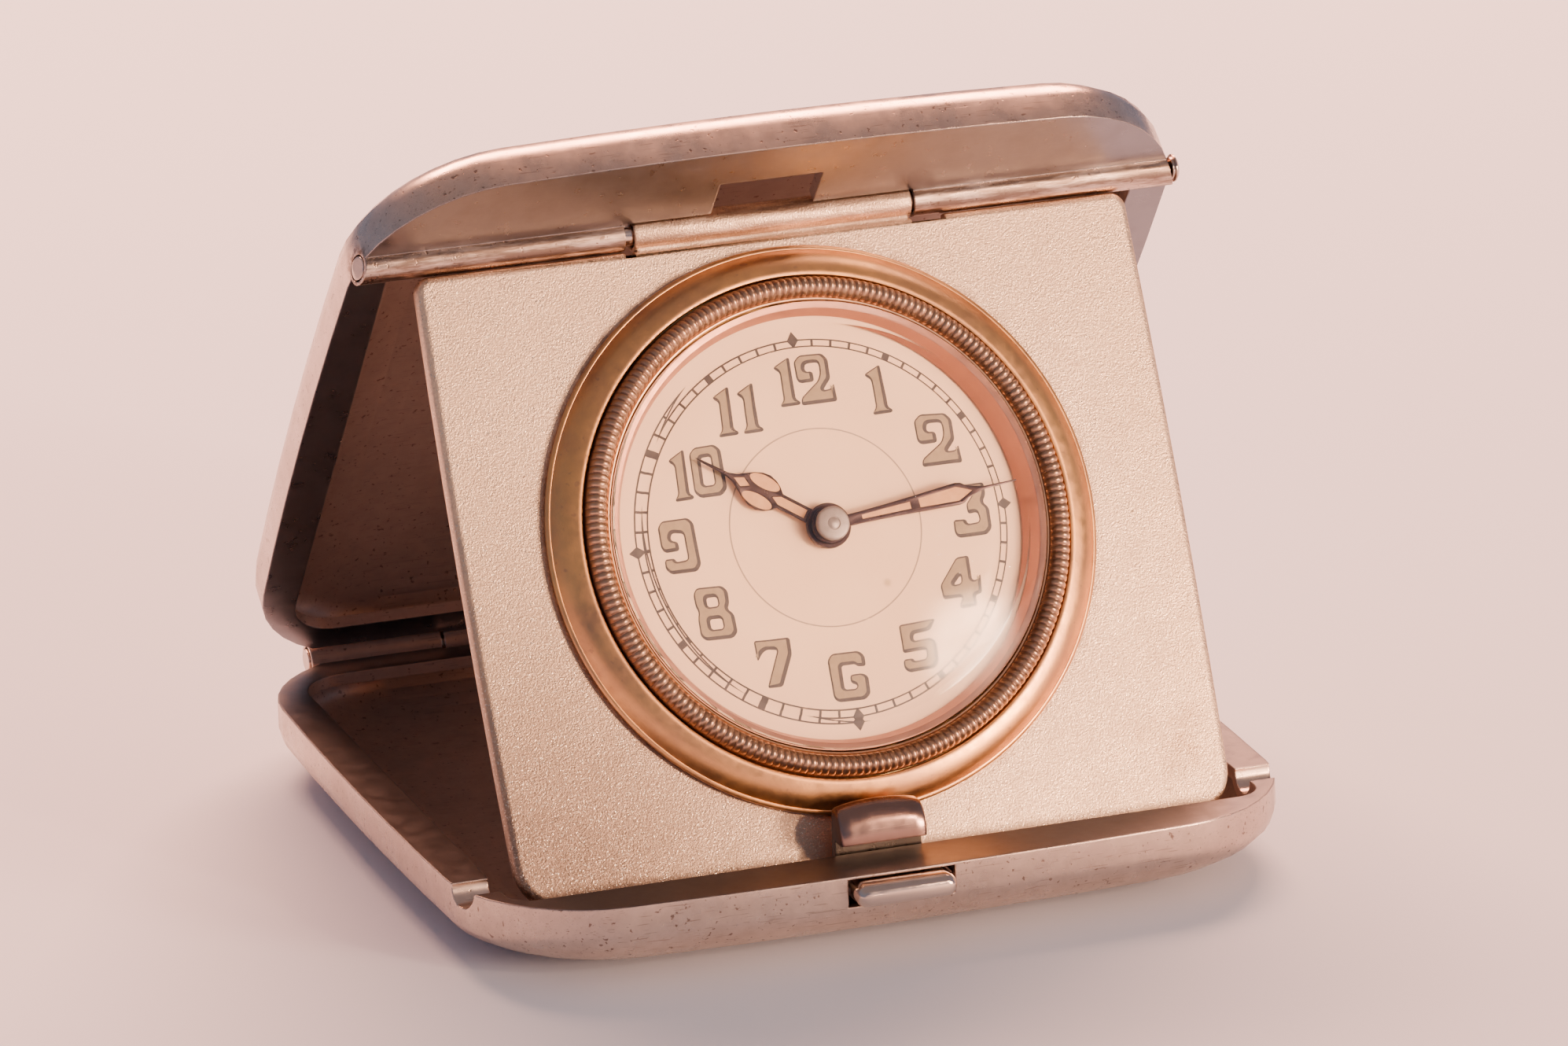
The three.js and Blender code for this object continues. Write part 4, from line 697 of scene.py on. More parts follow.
def refined(node, materials, slot, edge_mm):
    """A copy of a solid with clean shading and rounded edges."""
    source = frame["nodes"][node]
    mesh = welded(source)
    smooth(mesh)
    for face in mesh.polygons:
        if face.area > LARGE_FACE:
            face.use_smooth = False
    piece = new_object(node + "_skin", mesh, materials, source["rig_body"], slot, node)
    if edge_mm:
        rounding = piece.modifiers.new("edge", "BEVEL")
        rounding.width = edge_mm * MM
        rounding.segments = 2
        rounding.limit_method = "ANGLE"
        rounding.angle_limit = ROUNDED_ANGLE
        rounding.use_clamp_overlap = True
        rounding.harden_normals = True
    return piece


def turned(name, profile, steps=ROUND_STEPS, closed=True, shape=None):
    """A profile of (radius, height) points turned round the dial's axis. shape may move each point."""
    bm = bmesh.new()
    rings = []
    for index, (radius, height) in enumerate(profile):
        ring = []
        if radius == 0:
            ring.append(bm.verts.new((0, 0, height)))
        else:
            for k in range(steps):
                angle = 2 * pi * k / steps
                r, h = shape(index, angle, radius, height) if shape else (radius, height)
                ring.append(bm.verts.new((r * cos(angle), r * sin(angle), h)))
        rings.append(ring)
    pairs = list(zip(rings, rings[1:]))
    if closed:
        pairs.append((rings[-1], rings[0]))
    for first, second in pairs:
        for k in range(steps):
            j = (k + 1) % steps
            if len(first) == 1:
                bm.faces.new((first[0], second[k], second[j]))
            elif len(second) == 1:
                bm.faces.new((first[k], second[0], first[j]))
            else:
                bm.faces.new((first[k], second[k], second[j], first[j]))
    return outward_mesh(name, bm, DIAL)


def from_corner(corner, steps):
    """Points of a profile, given as steps from one corner."""
    return [(corner[0] + outwards, corner[1] + up) for outwards, up in steps]


def arc(centre, radii, start_deg, end_deg, steps):
    """Points on part of an ellipse."""
    points = []
    for k in range(steps + 1):
        angle = radians(start_deg + (end_deg - start_deg) * k / steps)
        points.append((centre[0] + radii[0] * cos(angle), centre[1] + radii[1] * sin(angle)))
    return points


def flat_shape(name, outlines, low, high, matrix=DIAL, edge=0.0):
    """Closed outlines, holes among them, filled and given thickness."""
    curve = bpy.data.curves.new(name, "CURVE")
    curve.dimensions = "2D"
    curve.fill_mode = "BOTH"
    curve.extrude = (high - low) / 2 - edge
    curve.bevel_depth = edge
    curve.bevel_resolution = 1
    curve.offset = -edge
    for outline in outlines:
        spline = curve.splines.new("POLY")
        spline.points.add(len(outline) - 1)
        for point, (x, y) in zip(spline.points, outline):
            point.co = (x, y, 0, 1)
        spline.use_cyclic_u = True
    holder = bpy.data.objects.new(name + "_outline", curve)
    link(holder)
    seen = holder.evaluated_get(bpy.context.evaluated_depsgraph_get())
    mesh = bpy.data.meshes.new_from_object(seen)
    bpy.data.objects.remove(holder)
    bm = bmesh.new()
    bm.from_mesh(mesh)
    bmesh.ops.remove_doubles(bm, verts=bm.verts, dist=OUTLINE_WELD)
    bmesh.ops.recalc_face_normals(bm, faces=bm.faces)
    bm.to_mesh(mesh)
    bm.free()
    mesh.transform(matrix @ Matrix.Translation((0, 0, (low + high) / 2)))
    mesh.materials.clear()
    smooth(mesh)
    return mesh


def area(points):
    following = points[1:] + points[:1]
    return sum(x0 * y1 - x1 * y0 for (x0, y0), (x1, y1) in zip(points, following)) / 2


def inset(points, distance, sharpest=0.6):
    """The outline moved inwards, or outwards for a negative distance. Sharp corners move less."""
    sign = 1 if area(points) > 0 else -1
    count = len(points)
    moved = []
    for i, point in enumerate(points):
        here = Vector(point)
        before = (here - Vector(points[i - 1])).normalized()
        after = (Vector(points[(i + 1) % count]) - here).normalized()
        normals = [Vector((-d.y, d.x)) * sign for d in (before, after)]
        middle = normals[0] + normals[1]
        reach = distance * 2 / max(middle.length_squared, sharpest)
        moved.append(tuple(here + middle * reach))
    return moved


def softened(points, reach, passes=2):
    """The outline with its corners cut round."""
    for _ in range(passes):
        cut = []
        count = len(points)
        for i, point in enumerate(points):
            here = Vector(point)
            for other in (points[i - 1], points[(i + 1) % count]):
                way = Vector(other) - here
                cut.append(tuple(here + way.normalized() * min(reach, way.length * 0.3)))
        points = cut
        reach *= 0.4
    return points


# Silver case and plate


def middle_of(node):
    low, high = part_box(node)
    return (low + high) / 2


def tongue_stations(half):
    """Places along the tongue, and how far it is drawn in at each."""
    left = [(-half + along, drawn_in) for along, drawn_in in TONGUE_ENDS]
    right = [(half - along, drawn_in) for along, drawn_in in reversed(TONGUE_ENDS)]
    return left + [(0.0, 0.0)] + right


def tongue_profile(front, foot, crest):
    """The neck's strip and the nose that leans forward over it, as (forward, height) points."""
    profile = [(0.0, foot), (NECK, foot), (NECK, NOSE_UNDERSIDE), (front, NOSE_UNDERSIDE)]
    for k in range(1, NOSE_STEPS + 1):
        angle = radians(90 / NOSE_STEPS * k)
        reach = front * (1 - NOSE_LEAN * (1 - cos(angle)))
        profile.append((reach, NOSE_UNDERSIDE + (crest - NOSE_UNDERSIDE) * sin(angle)))
    return profile + [(0.0, crest)]


def latch_tongue():
    """An upright strip whose top is a nose, bent forward, arched along its length and rounded at its ends."""
    low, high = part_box("latch_tongue")
    half = (high.x - low.x) / 2 / MM
    depth = (high.y - low.y) / MM
    bm = bmesh.new()
    rings = []
    for x, drawn_in in tongue_stations(half):
        crest = high.z / MM - NOSE_ARCH * abs(x / half) ** NOSE_ARCH_POWER - drawn_in
        profile = tongue_profile(depth - drawn_in, low.z / MM, crest)
        rings.append([bm.verts.new((x, -forward, z)) for forward, z in profile])
    for first, second in zip(rings, rings[1:]):
        # The neck and the nose's underside take the dark painted shade under the nose
        for face in strip(bm, first, second)[:NECK_FACES]:
            face.material_index = 1
    bm.faces.new(rings[0])
    bm.faces.new(rings[-1])
    place = Matrix.Translation(((low.x + high.x) / 2, high.y, 0.0)) @ Matrix.Scale(MM, 4)
    mesh = outward_mesh("latch_tongue_rounded", bm, place)
    smooth(mesh)
    materials = [tongue_silver, neck_painted_shade]
    new_object("latch_tongue_rounded", mesh, materials, "latch", "polished_silver", "latch_tongue")


def latch_spring():
    """A leaf spring with a long arm and a raised tip, tied to no body."""
    mesh = welded(frame["nodes"]["latch_spring"])
    smooth(mesh)
    piece = new_object("latch_spring_bent", mesh, [steel], None, "steel", "latch_spring")
    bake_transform(piece)


def pill(half_width, half_height, steps=10):
    """A bar with round ends, anticlockwise."""
    flat = half_width - half_height
    radii = (half_height, half_height)
    return arc((flat, 0.0), radii, -90, 90, steps) + arc((-flat, 0.0), radii, 90, 270, steps)


def button_stages():
    """Distances forward from the button's back, and how far its outline is drawn in at each."""
    stages = [(0.0, 0.0), (BUTTON_STRAIGHT, 0.0)]
    for degrees in BUTTON_ANGLES:
        angle = radians(degrees)
        drawn_in = BUTTON_DRAWN_IN * (1 - cos(angle))
        stages.append((BUTTON_STRAIGHT + BUTTON_CROWN * sin(angle), drawn_in))
    return stages


def push_button():
    """A cushion-faced bar with round ends, and the shank behind it."""
    low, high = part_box("push_button")
    half_width = (high.x - low.x) / 2 / MM
    half_height = (high.z - low.z) / 2 / MM
    bm = bmesh.new()
    rings = []
    for forward, drawn_in in button_stages():
        outline = pill(half_width - drawn_in, half_height - drawn_in)
        rings.append([bm.verts.new((x, BUTTON_DEPTH - forward, z)) for x, z in outline])
    for first, second in zip(rings, rings[1:]):
        strip(bm, first, second)
    bm.faces.new(rings[0])
    bm.faces.new(rings[-1])
    sides = (-SHANK_HALF, SHANK_HALF, SHANK_HALF, -SHANK_HALF)
    corners = list(zip(sides, (SHANK_TOP, SHANK_TOP, SHANK_FOOT, SHANK_FOOT)))
    front = [bm.verts.new((x, BUTTON_DEPTH - SHANK_SUNK, z)) for x, z in corners]
    rear = [bm.verts.new((x, (high.y - low.y) / MM, z)) for x, z in corners]
    bm.faces.new(front)
    bm.faces.new(rear)
    strip(bm, front, rear)
    middle = Vector(((low.x + high.x) / 2, low.y, (low.z + high.z) / 2))
    mesh = outward_mesh("push_button_rounded", bm, Matrix.Translation(middle) @ Matrix.Scale(MM, 4))
    smooth(mesh)
    new_object("push_button_rounded", mesh, [bright], "latch", "polished_silver", "push_button")


def case_pieces():
    base = refined("base_shell", [silver, inside, base_rim_tarnish_and_shade], "silver", SHELL_EDGE)
    sort_shell_faces(base.data, middle_of("base_shell"), UPWARD)
    between_hinges = Vector(joints["plate_hinge"]["pos_m"]) - Vector(joints["case_hinge"]["pos_m"])
    facing = ACROSS.cross(between_hinges).normalized()
    cover = refined("back_shell", [silver, inside, rim_tarnish_and_shade], "silver", SHELL_EDGE)
    sort_shell_faces(cover.data, middle_of("back_shell"), facing)
    refined("clock_plate", [plate_finish], "silver", PLATE_EDGE)
    latch_tongue()
    push_button()
    latch_spring()
    refined("case_hinge_pin", [bright], "polished_silver", 0)
    refined("plate_hinge_pin", [bright], "polished_silver", PIN_EDGE)


# Clock front


def turned_piece(name, profile, material, body, slot, *nodes, steps=ROUND_STEPS, closed=True):
    mesh = turned(name, profile, steps=steps, closed=closed)
    smooth(mesh)
    new_object(name, mesh, [material], body, slot, *nodes)


def gilt_ring():
    profile = [(RING_INNER, RING_FOOT)] + from_corner((RING_OUTER, RING_FOOT), RING_EDGE)
    foot, head = (Vector(end) for end in RING_SLOPE)
    for k in range(RING_SLOPE_STEPS + 1):
        share = k / RING_SLOPE_STEPS
        point = foot.lerp(head, share)
        belly = RING_BELLY * sin(pi * share)
        profile.append((point.x + belly * RING_BELLY_LEAN, point.y + belly))
    profile += from_corner((RING_INNER, RING_TOP), RING_LIP)
    turned_piece("gilt_ring_turned", profile, gilt, "clock", "gilt", "gilt_ring")


def rib_cut(angle, along):
    """How deep the milling cuts, from 0 on a rib to 1 in a groove. It leans along the bead."""
    return 0.5 - 0.5 * cos(RIB_COUNT * angle + RIB_TWIST * along)


def milled_bezel():
    """A half-round bead cut with fine ribs, inside it a plain lip that holds the crystal."""
    middle = (BEZEL_OUTER + BEZEL_MOUTH) / 2 + BEAD_OUTWARDS
    bead = (BEZEL_OUTER - BEZEL_MOUTH) / 2 - BEAD_MARGIN
    rise = BEZEL_TOP - BEAD_HEIGHT
    profile = from_corner((BEZEL_MOUTH, BEZEL_FOOT), BEZEL_UNDERCUT)
    profile += [(BEZEL_OUTER, BEZEL_FOOT), (BEZEL_OUTER, BEZEL_SIDE_TOP)]
    first = len(profile)
    for k in range(BEAD_STEPS + 1):
        angle = radians(BEAD_SWEEP * k / BEAD_STEPS)
        profile.append((middle + bead * cos(angle), BEAD_HEIGHT + (rise - BEAD_SUNK) * sin(angle)))
    profile += from_corner((BEZEL_MOUTH, 0.0), BEZEL_LIP)

    def rib(index, angle, radius, height):
        if index not in range(first, first + BEAD_STEPS + 1):
            return radius, height
        along = (index - first) / BEAD_STEPS
        depth = RIB_DEPTH * rib_cut(angle, along) ** 2 * sin(pi * along) ** RIB_FADE
        swing = radians(BEAD_SWEEP * along)
        return radius - depth * cos(swing), height - depth * sin(swing)

    steps = RIB_COUNT * RIB_FACES
    mesh = turned("milled_bezel_ribbed", profile, steps=steps, shape=rib)
    smooth(mesh, BEAD_SMOOTH_ANGLE)
    new_object("milled_bezel_ribbed", mesh, [gilt_ribbed, groove], "clock", "gilt", "milled_bezel")
    for index, face in enumerate(mesh.polygons):
        band, place = divmod(index, steps)
        angle = 2 * pi * (place + 0.5) / steps
        along = (band + 0.5 - first) / BEAD_STEPS
        # The deepest faces of each groove take the painted shade
        if 0 < along < 1 and rib_cut(angle, along) > GROOVE_CUT:
            face.material_index = 1


def crystal():
    """A shallow dome, flat underneath, with a bevel that runs down to its edge."""
    profile = []
    for k in range(CRYSTAL_STEPS + 1):
        share = k / CRYSTAL_STEPS
        profile.append((CRYSTAL_FLAT * share, CRYSTAL_TOP - CRYSTAL_DOME * share ** 2))
    flat = profile[-1][1] - CRYSTAL_THICKNESS
    profile += from_corner(profile[-1], [CRYSTAL_SHOULDER])
    profile += from_corner((CRYSTAL_RADIUS, CRYSTAL_EDGE), [CRYSTAL_CHAMFER, (0.0, 0.0)])
    profile += from_corner((CRYSTAL_RADIUS, CRYSTAL_FOOT), [(0.0, 0.0), (-CRYSTAL_LIP, 0.0)])
    profile += [(radius, flat) for radius in CRYSTAL_BACK]
    mesh = turned("crystal_domed", profile, closed=False)
    smooth(mesh, CRYSTAL_SMOOTH_ANGLE)
    piece = new_object("crystal_domed", mesh, [crystal_glass], "clock", "crystal_glass", "crystal")
    piece.visible_shadow = False


def rehaut():
    """The sloping ring between the dial and the crystal."""
    turned_piece("rehaut_turned", REHAUT, copper, "clock", "copper", "rehaut_ring")


def dial():
    profile = [(DIAL_BORE, DIAL_BACK), (DIAL_RADIUS, DIAL_BACK)]
    profile += from_corner((DIAL_RADIUS, DIAL_FACE), [(0.0, -DIAL_EDGE), (-DIAL_EDGE, 0.0)])
    profile += [(DIAL_MIDWAY, DIAL_FACE)]
    profile += from_corner((DIAL_BORE, DIAL_FACE), [(DIAL_EDGE, 0.0), (0.0, -DIAL_EDGE)])
    turned_piece("dial_enamel", profile, cream, "clock", "dial_paint", "dial")


def printed_ring(name, radius, width, material):
    inner, outer = radius - width / 2, radius + width / 2
    low, high = DIAL_FACE - INK, DIAL_FACE + INK
    mesh = turned(name, [(inner, low), (outer, low), (outer, high), (inner, high)])
    new_object(name, mesh, [material], "clock", "dial_paint")


def add_prism(bm, corners, low, high):
    bottom = [bm.verts.new((*corner, low)) for corner in corners]
    top = [bm.verts.new((*corner, high)) for corner in corners]
    bm.faces.new(list(reversed(bottom)))
    bm.faces.new(top)
    strip(bm, bottom, top)


def diamond(along, across):
    """The corners of a quarter's mark on the outer rail."""
    centre = along * TRACK_OUTER
    tips = (along * DIAMOND_LENGTH / 2, across * DIAMOND_WIDTH / 2)
    return [centre + tips[0], centre + tips[1], centre - tips[0], centre - tips[1]]


def tick(along, across, width):
    """The corners of a mark that reaches from rail to rail."""
    middle = (TRACK_OUTER + TRACK_INNER) / 2
    half_track = (TRACK_OUTER - TRACK_INNER) / 2
    return [
        along * (middle + up * half_track) + across * side * (width / 2)
        for up, side in ((-1, 1), (-1, -1), (1, -1), (1, 1))
    ]


def minute_marks():
    """Sixty ticks between the rails, squares at the hours and diamonds at the quarters."""
    bm = bmesh.new()
    for minute in range(60):
        angle = radians(90 - 6 * minute)
        along = Vector((cos(angle), sin(angle)))
        across = Vector((-along.y, along.x))
        if minute % 15 == 0:
            add_prism(bm, diamond(along, across), DIAL_FACE - INK, DIAL_FACE + DIAMOND_INK)
        else:
            width = MARK_WIDTH if minute % 5 == 0 else TICK_WIDTH
            add_prism(bm, tick(along, across, width), DIAL_FACE - INK, DIAL_FACE + TICK_INK)
    mesh = outward_mesh("minute_marks", bm, DIAL)
    new_object("minute_marks", mesh, [ink], "clock", "dial_paint")


# Each numeral's outline, anticlockwise or clockwise, in millimetres from its own middle

ONE = [
    (-0.81, 1.25), (0.52, 1.92), (0.50, -1.46), (0.81, -1.61), (0.78, -1.87),
    (-0.71, -1.89), (-0.68, -1.66), (-0.42, -1.40), (-0.38, 0.78), (-0.73, 1.04),
]
TWO = [
    (-1.56, -1.96), (1.63, -1.96), (1.56, -0.57), (1.30, -0.99), (0.52, -1.04), (1.35, -0.20),
    (1.44, 1.35), (0.99, 1.87), (-1.04, 1.92), (-1.61, 1.46), (-1.61, 0.0), (-1.35, -0.31),
    (-0.10, -0.29), (-0.10, 0.52), (-0.75, 0.57), (-0.75, 0.99), (-0.52, 1.20), (0.42, 1.20),
    (0.57, 0.99), (0.52, 0.26), (0.21, -0.31), (-1.46, -1.40),
]
THREE = [
    (-1.50, 1.92), (1.40, 1.92), (1.40, 1.04), (1.04, 0.47), (1.49, 0.0), (1.46, -1.51),
    (0.99, -1.94), (-1.35, -1.92), (-1.61, -1.56), (-1.56, -0.57), (-0.57, -0.62), (-0.52, -0.99),
    (0.52, -0.94), (0.52, -0.52), (0.42, -0.21), (-0.36, -0.26), (-0.36, 0.47), (0.30, 1.10),
    (-1.05, 1.15), (-1.50, 0.75),
]
FOUR = [
    (-0.10, 1.92), (0.86, 1.96), (0.88, 0.10), (1.30, 0.05), (1.64, 0.52), (1.56, -0.99),
    (0.99, -1.04), (1.04, -1.87), (-0.36, -1.89), (-0.36, -1.56), (-0.05, -1.04),
    (-1.61, -0.99), (-1.68, 0.05),
]
FOUR_HOLE = [(0.0, 0.62), (0.0, 0.0), (-0.68, -0.05)]
FIVE = [
    (-1.35, 1.82), (1.51, 1.96), (0.99, 1.14), (-0.36, 1.04), (-0.42, 0.52), (0.94, 0.57),
    (1.35, 0.21), (1.33, -1.35), (0.94, -1.82), (-1.09, -1.85), (-1.44, -1.46), (-1.40, -0.78),
    (-0.62, -0.78), (-0.57, -1.04), (0.42, -0.99), (0.50, -0.52), (0.42, -0.26), (-1.35, -0.29),
]
SIX = [
    (-1.04, 1.92), (0.99, 1.89), (1.40, 1.51), (1.40, 0.68), (0.73, 0.73), (0.62, 0.94),
    (-0.47, 0.94), (-0.52, -0.94), (0.42, -0.99), (0.50, -0.68), (0.05, -0.52), (0.05, 0.05),
    (0.26, 0.16), (1.04, 0.16), (1.44, -0.16), (1.40, -1.51), (0.94, -1.92), (-1.14, -1.87),
    (-1.46, -1.51), (-1.44, 1.46),
]
SEVEN = [
    (-1.40, 1.89), (1.37, 1.85), (1.35, 0.62), (0.16, -1.82), (-1.04, -1.82), (0.31, 1.04),
    (-0.52, 1.14), (-0.94, 0.88), (-1.40, 0.26),
]
EIGHT = [
    (-1.14, 2.0), (0.88, 1.98), (1.27, 1.56), (1.25, 0.62), (0.99, 0.26), (1.44, -0.21),
    (1.44, -1.56), (0.99, -1.98), (-1.14, -1.98), (-1.51, -1.56), (-1.48, -0.31), (-1.30, 0.21),
    (-1.48, 0.62), (-1.48, 1.56),
]
EIGHT_HIGH = [(-0.52, 1.2), (0.36, 1.2), (0.36, 0.5), (-0.52, 0.5)]
EIGHT_LOW = [(-0.57, -0.42), (0.42, -0.42), (0.42, -1.2), (-0.57, -1.2)]
NINE = [
    (-1.14, 2.0), (0.99, 2.0), (1.40, 1.56), (1.46, -1.50), (1.04, -1.98), (-1.04, -1.98),
    (-1.44, -1.56), (-1.40, -0.83), (-0.57, -0.83), (-0.52, -1.12), (0.42, -1.06), (0.50, -0.83),
    (0.47, 0.88), (-0.36, 1.04), (-0.62, 0.83), (-0.62, 0.47), (-0.10, 0.36), (-0.07, -0.31),
    (-1.25, -0.36), (-1.51, 0.0), (-1.51, 1.56),
]
ZERO = [
    (-0.80, 1.89), (0.80, 1.89), (1.26, 1.44), (1.26, -1.44), (0.80, -1.89), (-0.80, -1.89),
    (-1.26, -1.44), (-1.26, 1.44),
]
ZERO_HOLE = [(-0.42, 1.04), (0.42, 1.04), (0.42, -1.04), (-0.42, -1.04)]

# Each hour's middle on the dial, and its digits: outline, holes, shift to the right, width
HOURS = [
    ((0.0, 10.98), [(ONE, [], -1.04, 1.0), (TWO, [], 1.17, 0.865)]),
    ((5.81, 9.55), [(ONE, [], 0.0, 1.0)]),
    ((9.67, 5.36), [(TWO, [], 0.0, 1.0)]),
    ((11.29, -0.17), [(THREE, [], 0.0, 1.0)]),
    ((9.55, -5.39), [(FOUR, [FOUR_HOLE], 0.0, 1.0)]),
    ((5.54, -9.61), [(FIVE, [], 0.0, 1.0)]),
    ((-0.19, -11.1), [(SIX, [], 0.0, 1.0)]),
    ((-5.54, -9.40), [(SEVEN, [], 0.0, 1.0)]),
    ((-9.45, -5.15), [(EIGHT, [EIGHT_HIGH, EIGHT_LOW], 0.0, 1.0)]),
    ((-11.29, 0.05), [(NINE, [], 0.0, 1.0)]),
    ((-9.2, 5.2), [(ONE, [], -1.10, 1.0), (ZERO, [ZERO_HOLE], 1.07, 1.0)]),
    ((-5.1, 9.4), [(ONE, [], -0.98, 1.0), (ONE, [], 0.93, 1.0)]),
]


def numerals():
    """Painted figures, each a dark outline with a raised paler fill set up and to the left in it."""
    dark, pale = [], []
    for (x, y), digits in HOURS:
        for outline, holes, shift, width in digits:
            for k, shape in enumerate([outline, *holes]):
                placed = [(x + shift + px * width, y + py) for px, py in shape]
                edge = softened(placed, NUMERAL_CORNER)
                dark.append(edge)
                inner = inset(edge, -FILL_INSET if k else FILL_INSET)
                pale.append([(px + FILL_SHIFT[0], py + FILL_SHIFT[1]) for px, py in inner])
    mesh = flat_shape("numeral_outlines", dark, DIAL_FACE - INK, DIAL_FACE + INK)
    new_object("numeral_outlines", mesh, [ink], "clock", "dial_paint")
    mesh = flat_shape("numeral_fills", pale, DIAL_FACE - INK, DIAL_FACE + PAINT)
    new_object("numeral_fills", mesh, [numeral_paint], "clock", "dial_paint")


def mirrored(points):
    """An outline symmetric about the hand, from its upper half."""
    return points + [(x, -y) for x, y in reversed(points) if y > 0]


def hand(name, body, angle, outline, windows, heights, lume_heights):
    """A blued frame, drawn along +X and turned to its angle, with luminous fill in its windows."""
    matrix = DIAL @ Matrix.Rotation(radians(90 - angle), 4, "Z")
    mesh = flat_shape(name + "_frame", [outline, *windows], *heights, matrix, HAND_EDGE)
    new_object(name + "_frame", mesh, [blued], body, "blued_steel", name)
    fills = [inset(window, -LUME_OVERLAP) for window in windows]
    mesh = flat_shape(name + "_lume", fills, *lume_heights, matrix)
    new_object(name + "_lume", mesh, [lume], body, "blued_steel")


def minute_hand():
    outline = mirrored([
        (-1.0, 0.40), (2.4, 0.44), (5.0, 0.53), (7.0, 0.64), (9.0, 0.76), (10.1, 0.82),
        (10.5, 0.74), (10.9, 0.47), (11.5, 0.30), (12.4, 0.11), (15.0, 0.055),
    ])
    shaft = mirrored([(2.5, 0.15), (6.35, 0.26)])
    head = mirrored([(7.05, 0.33), (10.05, 0.52), (10.35, 0.42), (11.3, 0.0)])
    windows = [shaft, head]
    hand("minute_hand", "minute", MINUTE_ANGLE, outline, windows, MINUTE_HEIGHTS, MINUTE_LUME_HEIGHTS)


def hour_hand():
    outline = mirrored([
        (-1.0, 0.5), (1.7, 0.55), (4.0, 0.56), (4.35, 0.92), (4.8, 1.22), (5.4, 1.40), (6.0, 1.32),
        (6.6, 1.06), (7.2, 0.66), (7.7, 0.34), (8.3, 0.15), (10.6, 0.07), (11.0, 0.0),
    ])
    shaft = mirrored([(1.9, 0.33), (4.05, 0.32), (4.62, 0.0)])
    lobes = [arc((5.58, side * 0.74), (1.22, 0.48), 0, 345, 23) for side in (1, -1)]
    cell = mirrored([(6.5, 0.0), (7.12, 0.36), (7.8, 0.0)])
    windows = [shaft, *lobes, cell]
    hand("hour_hand", "hour", HOUR_ANGLE, outline, windows, HOUR_HEIGHTS, HOUR_LUME_HEIGHTS)


def hubs():
    """The hour hand's boss, the minute hand's boss, and the cap over them."""
    turned_piece("hour_hand_boss", HOUR_BOSS, blued, "hour", "blued_steel", steps=HUB_STEPS)
    turned_piece("minute_hand_boss", MINUTE_BOSS, blued, "minute", "blued_steel", steps=HUB_STEPS)
    turned_piece(
        "hand_cap_turned", HAND_CAP, cap_steel, "minute", "steel", "hand_cap", steps=HUB_STEPS, closed=False
    )


# Solids that keep their shape. Those that aren't named here are steel.

BRASS_NODES = [
    "movement_case", "case_back_cover", "main_plate", "three_quarter_plate", "minute_wheel",
    "hour_wheel", "centre_wheel", "third_wheel", "fourth_wheel", "pallet_cock",
    "balance_wheel", "balance_cock", "barrel", "barrel_cover",
]
CARRIED = {name: brass for name in BRASS_NODES}
CARRIED["spring_rivet_rear"] = silver
CARRIED["spring_rivet_front"] = silver
CARRIED["hairspring"] = blued
CARRIED["winding_crown"] = gilt


def carried_solids():
    for name, node in frame["nodes"].items():
        node.data.materials.clear()
        node.data.materials.append(CARRIED.get(name, steel))


# Stage


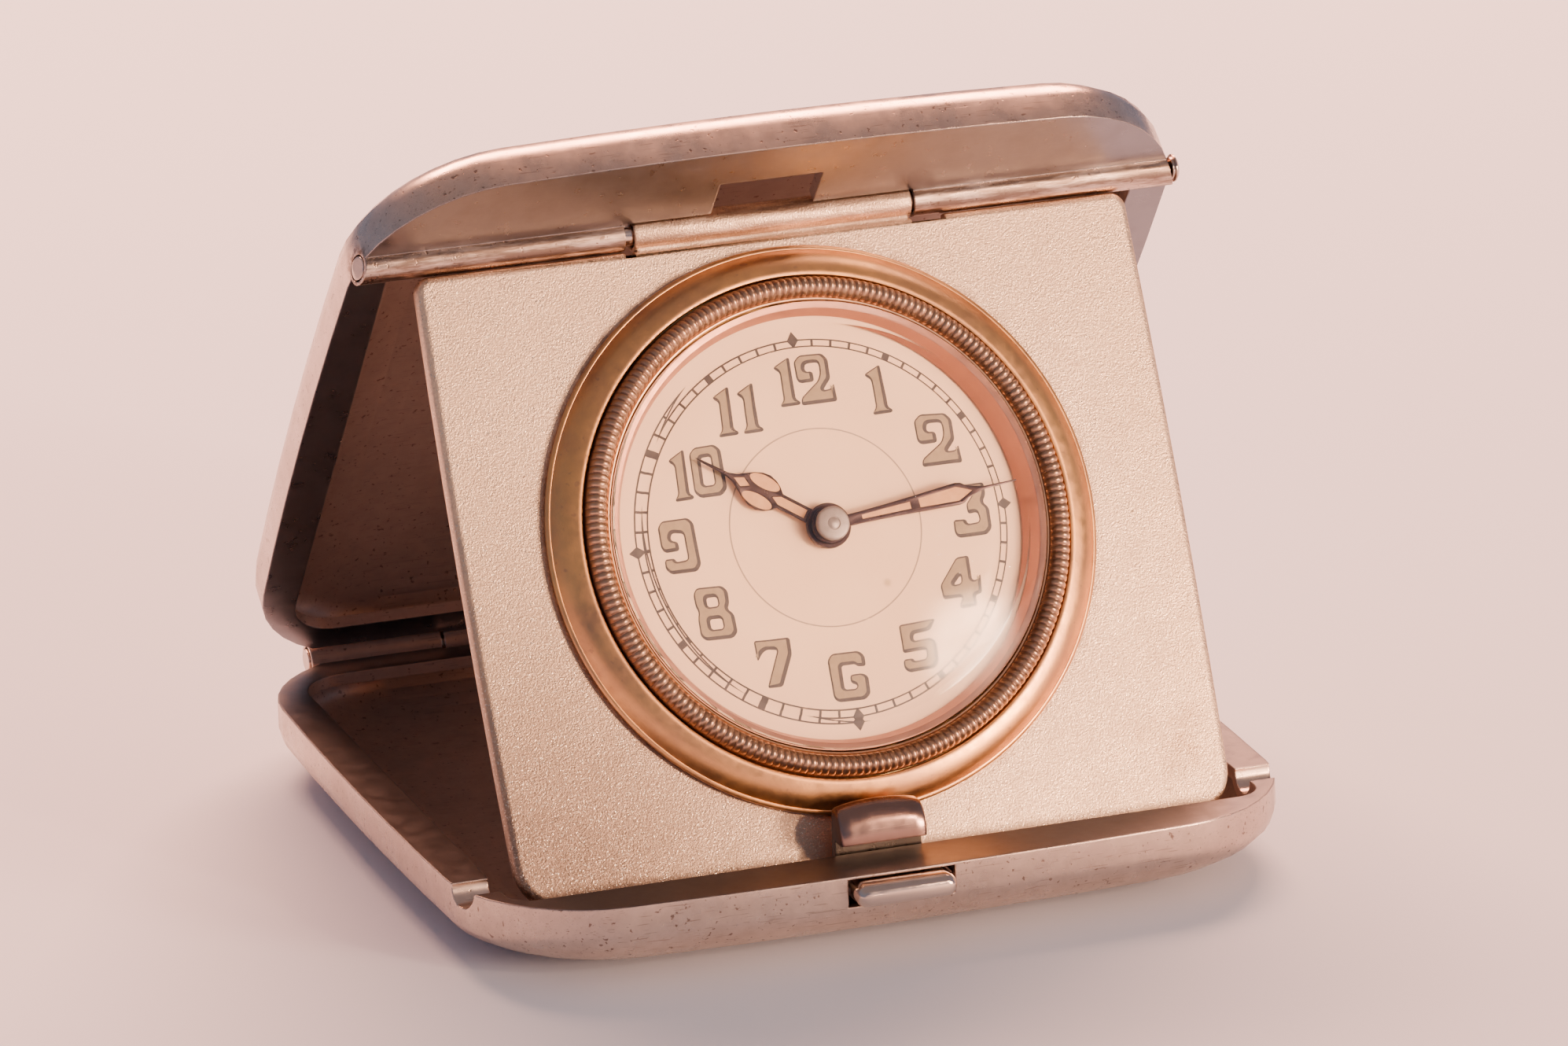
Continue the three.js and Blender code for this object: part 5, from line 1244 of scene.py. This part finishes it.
def set_camera():
    azimuth, elevation, roll = (
        radians(angle) for angle in (CAMERA_AZIMUTH, CAMERA_ELEVATION, CAMERA_ROLL)
    )
    back = Vector((
        sin(azimuth) * cos(elevation),
        -cos(azimuth) * cos(elevation),
        sin(elevation),
    ))
    level = Vector((cos(azimuth), sin(azimuth), 0))
    upright = back.cross(level)
    right = level * cos(roll) + upright * sin(roll)
    up = upright * cos(roll) - level * sin(roll)
    aim = Vector(joints["case_hinge"]["pos_m"])
    place = aim + (right * CAMERA_ASIDE + up * CAMERA_ABOVE + back * CAMERA_DISTANCE) * MM
    data = bpy.data.cameras.new("camera")
    data.sensor_width = SENSOR_WIDTH
    data.lens = FOCAL_PIXELS * SENSOR_WIDTH / PHOTO_WIDTH
    data.clip_start = CLIP_START
    data.clip_end = CLIP_END
    camera = bpy.data.objects.new("camera", data)
    camera.matrix_world = Matrix.Translation(place) @ Matrix((right, up, back)).transposed().to_4x4()
    link(camera)
    bpy.context.scene.camera = camera


def softbox(name, place, aim, size, power, colour):
    data = bpy.data.lights.new(name, "AREA")
    data.shape = "RECTANGLE"
    data.size, data.size_y = size
    data.energy = power
    data.color = colour
    lamp = bpy.data.objects.new(name, data)
    lamp.location = place
    lamp.rotation_euler = (Vector(aim) - Vector(place)).to_track_quat("-Z", "Y").to_euler()
    link(lamp)


def soft_room():
    """Pale bluish walls under a dim warm ceiling."""
    world = bpy.data.worlds.new("soft_room")
    world.use_nodes = True
    tree = world.node_tree
    place = add(tree, "TexCoord", {})
    height = add(tree, "SeparateXYZ", {0: place.outputs["Generated"]}).outputs["Z"]
    colour = blend(tree, spread(tree, height, WALL_TOP, CEILING_START), WALL_COLOUR, CEILING_COLOUR)
    background = tree.nodes["Background"]
    tree.links.new(colour, background.inputs["Color"])
    background.inputs["Strength"].default_value = 1.0
    bpy.context.scene.world = world


def stage():
    bm = bmesh.new()
    bmesh.ops.create_grid(bm, x_segments=FLOOR_CELLS, y_segments=FLOOR_CELLS, size=FLOOR_HALF)
    mesh = bpy.data.meshes.new("floor")
    bm.to_mesh(mesh)
    bm.free()
    floor = bpy.data.objects.new("floor", mesh)
    mesh.materials.append(floor_card())
    link(floor)
    soft_room()
    for name, settings in LIGHTS.items():
        softbox(name, *settings)


set_camera()
case_pieces()
gilt_ring()
milled_bezel()
crystal()
rehaut()
dial()
printed_ring("track_rail_outer", TRACK_OUTER, RAIL_WIDTH, ink)
printed_ring("track_rail_inner", TRACK_INNER, RAIL_WIDTH, ink)
printed_ring("chapter_circle", CHAPTER_RADIUS, CHAPTER_WIDTH, pale_ink)
minute_marks()
numerals()
minute_hand()
hour_hand()
hubs()
carried_solids()
stage()
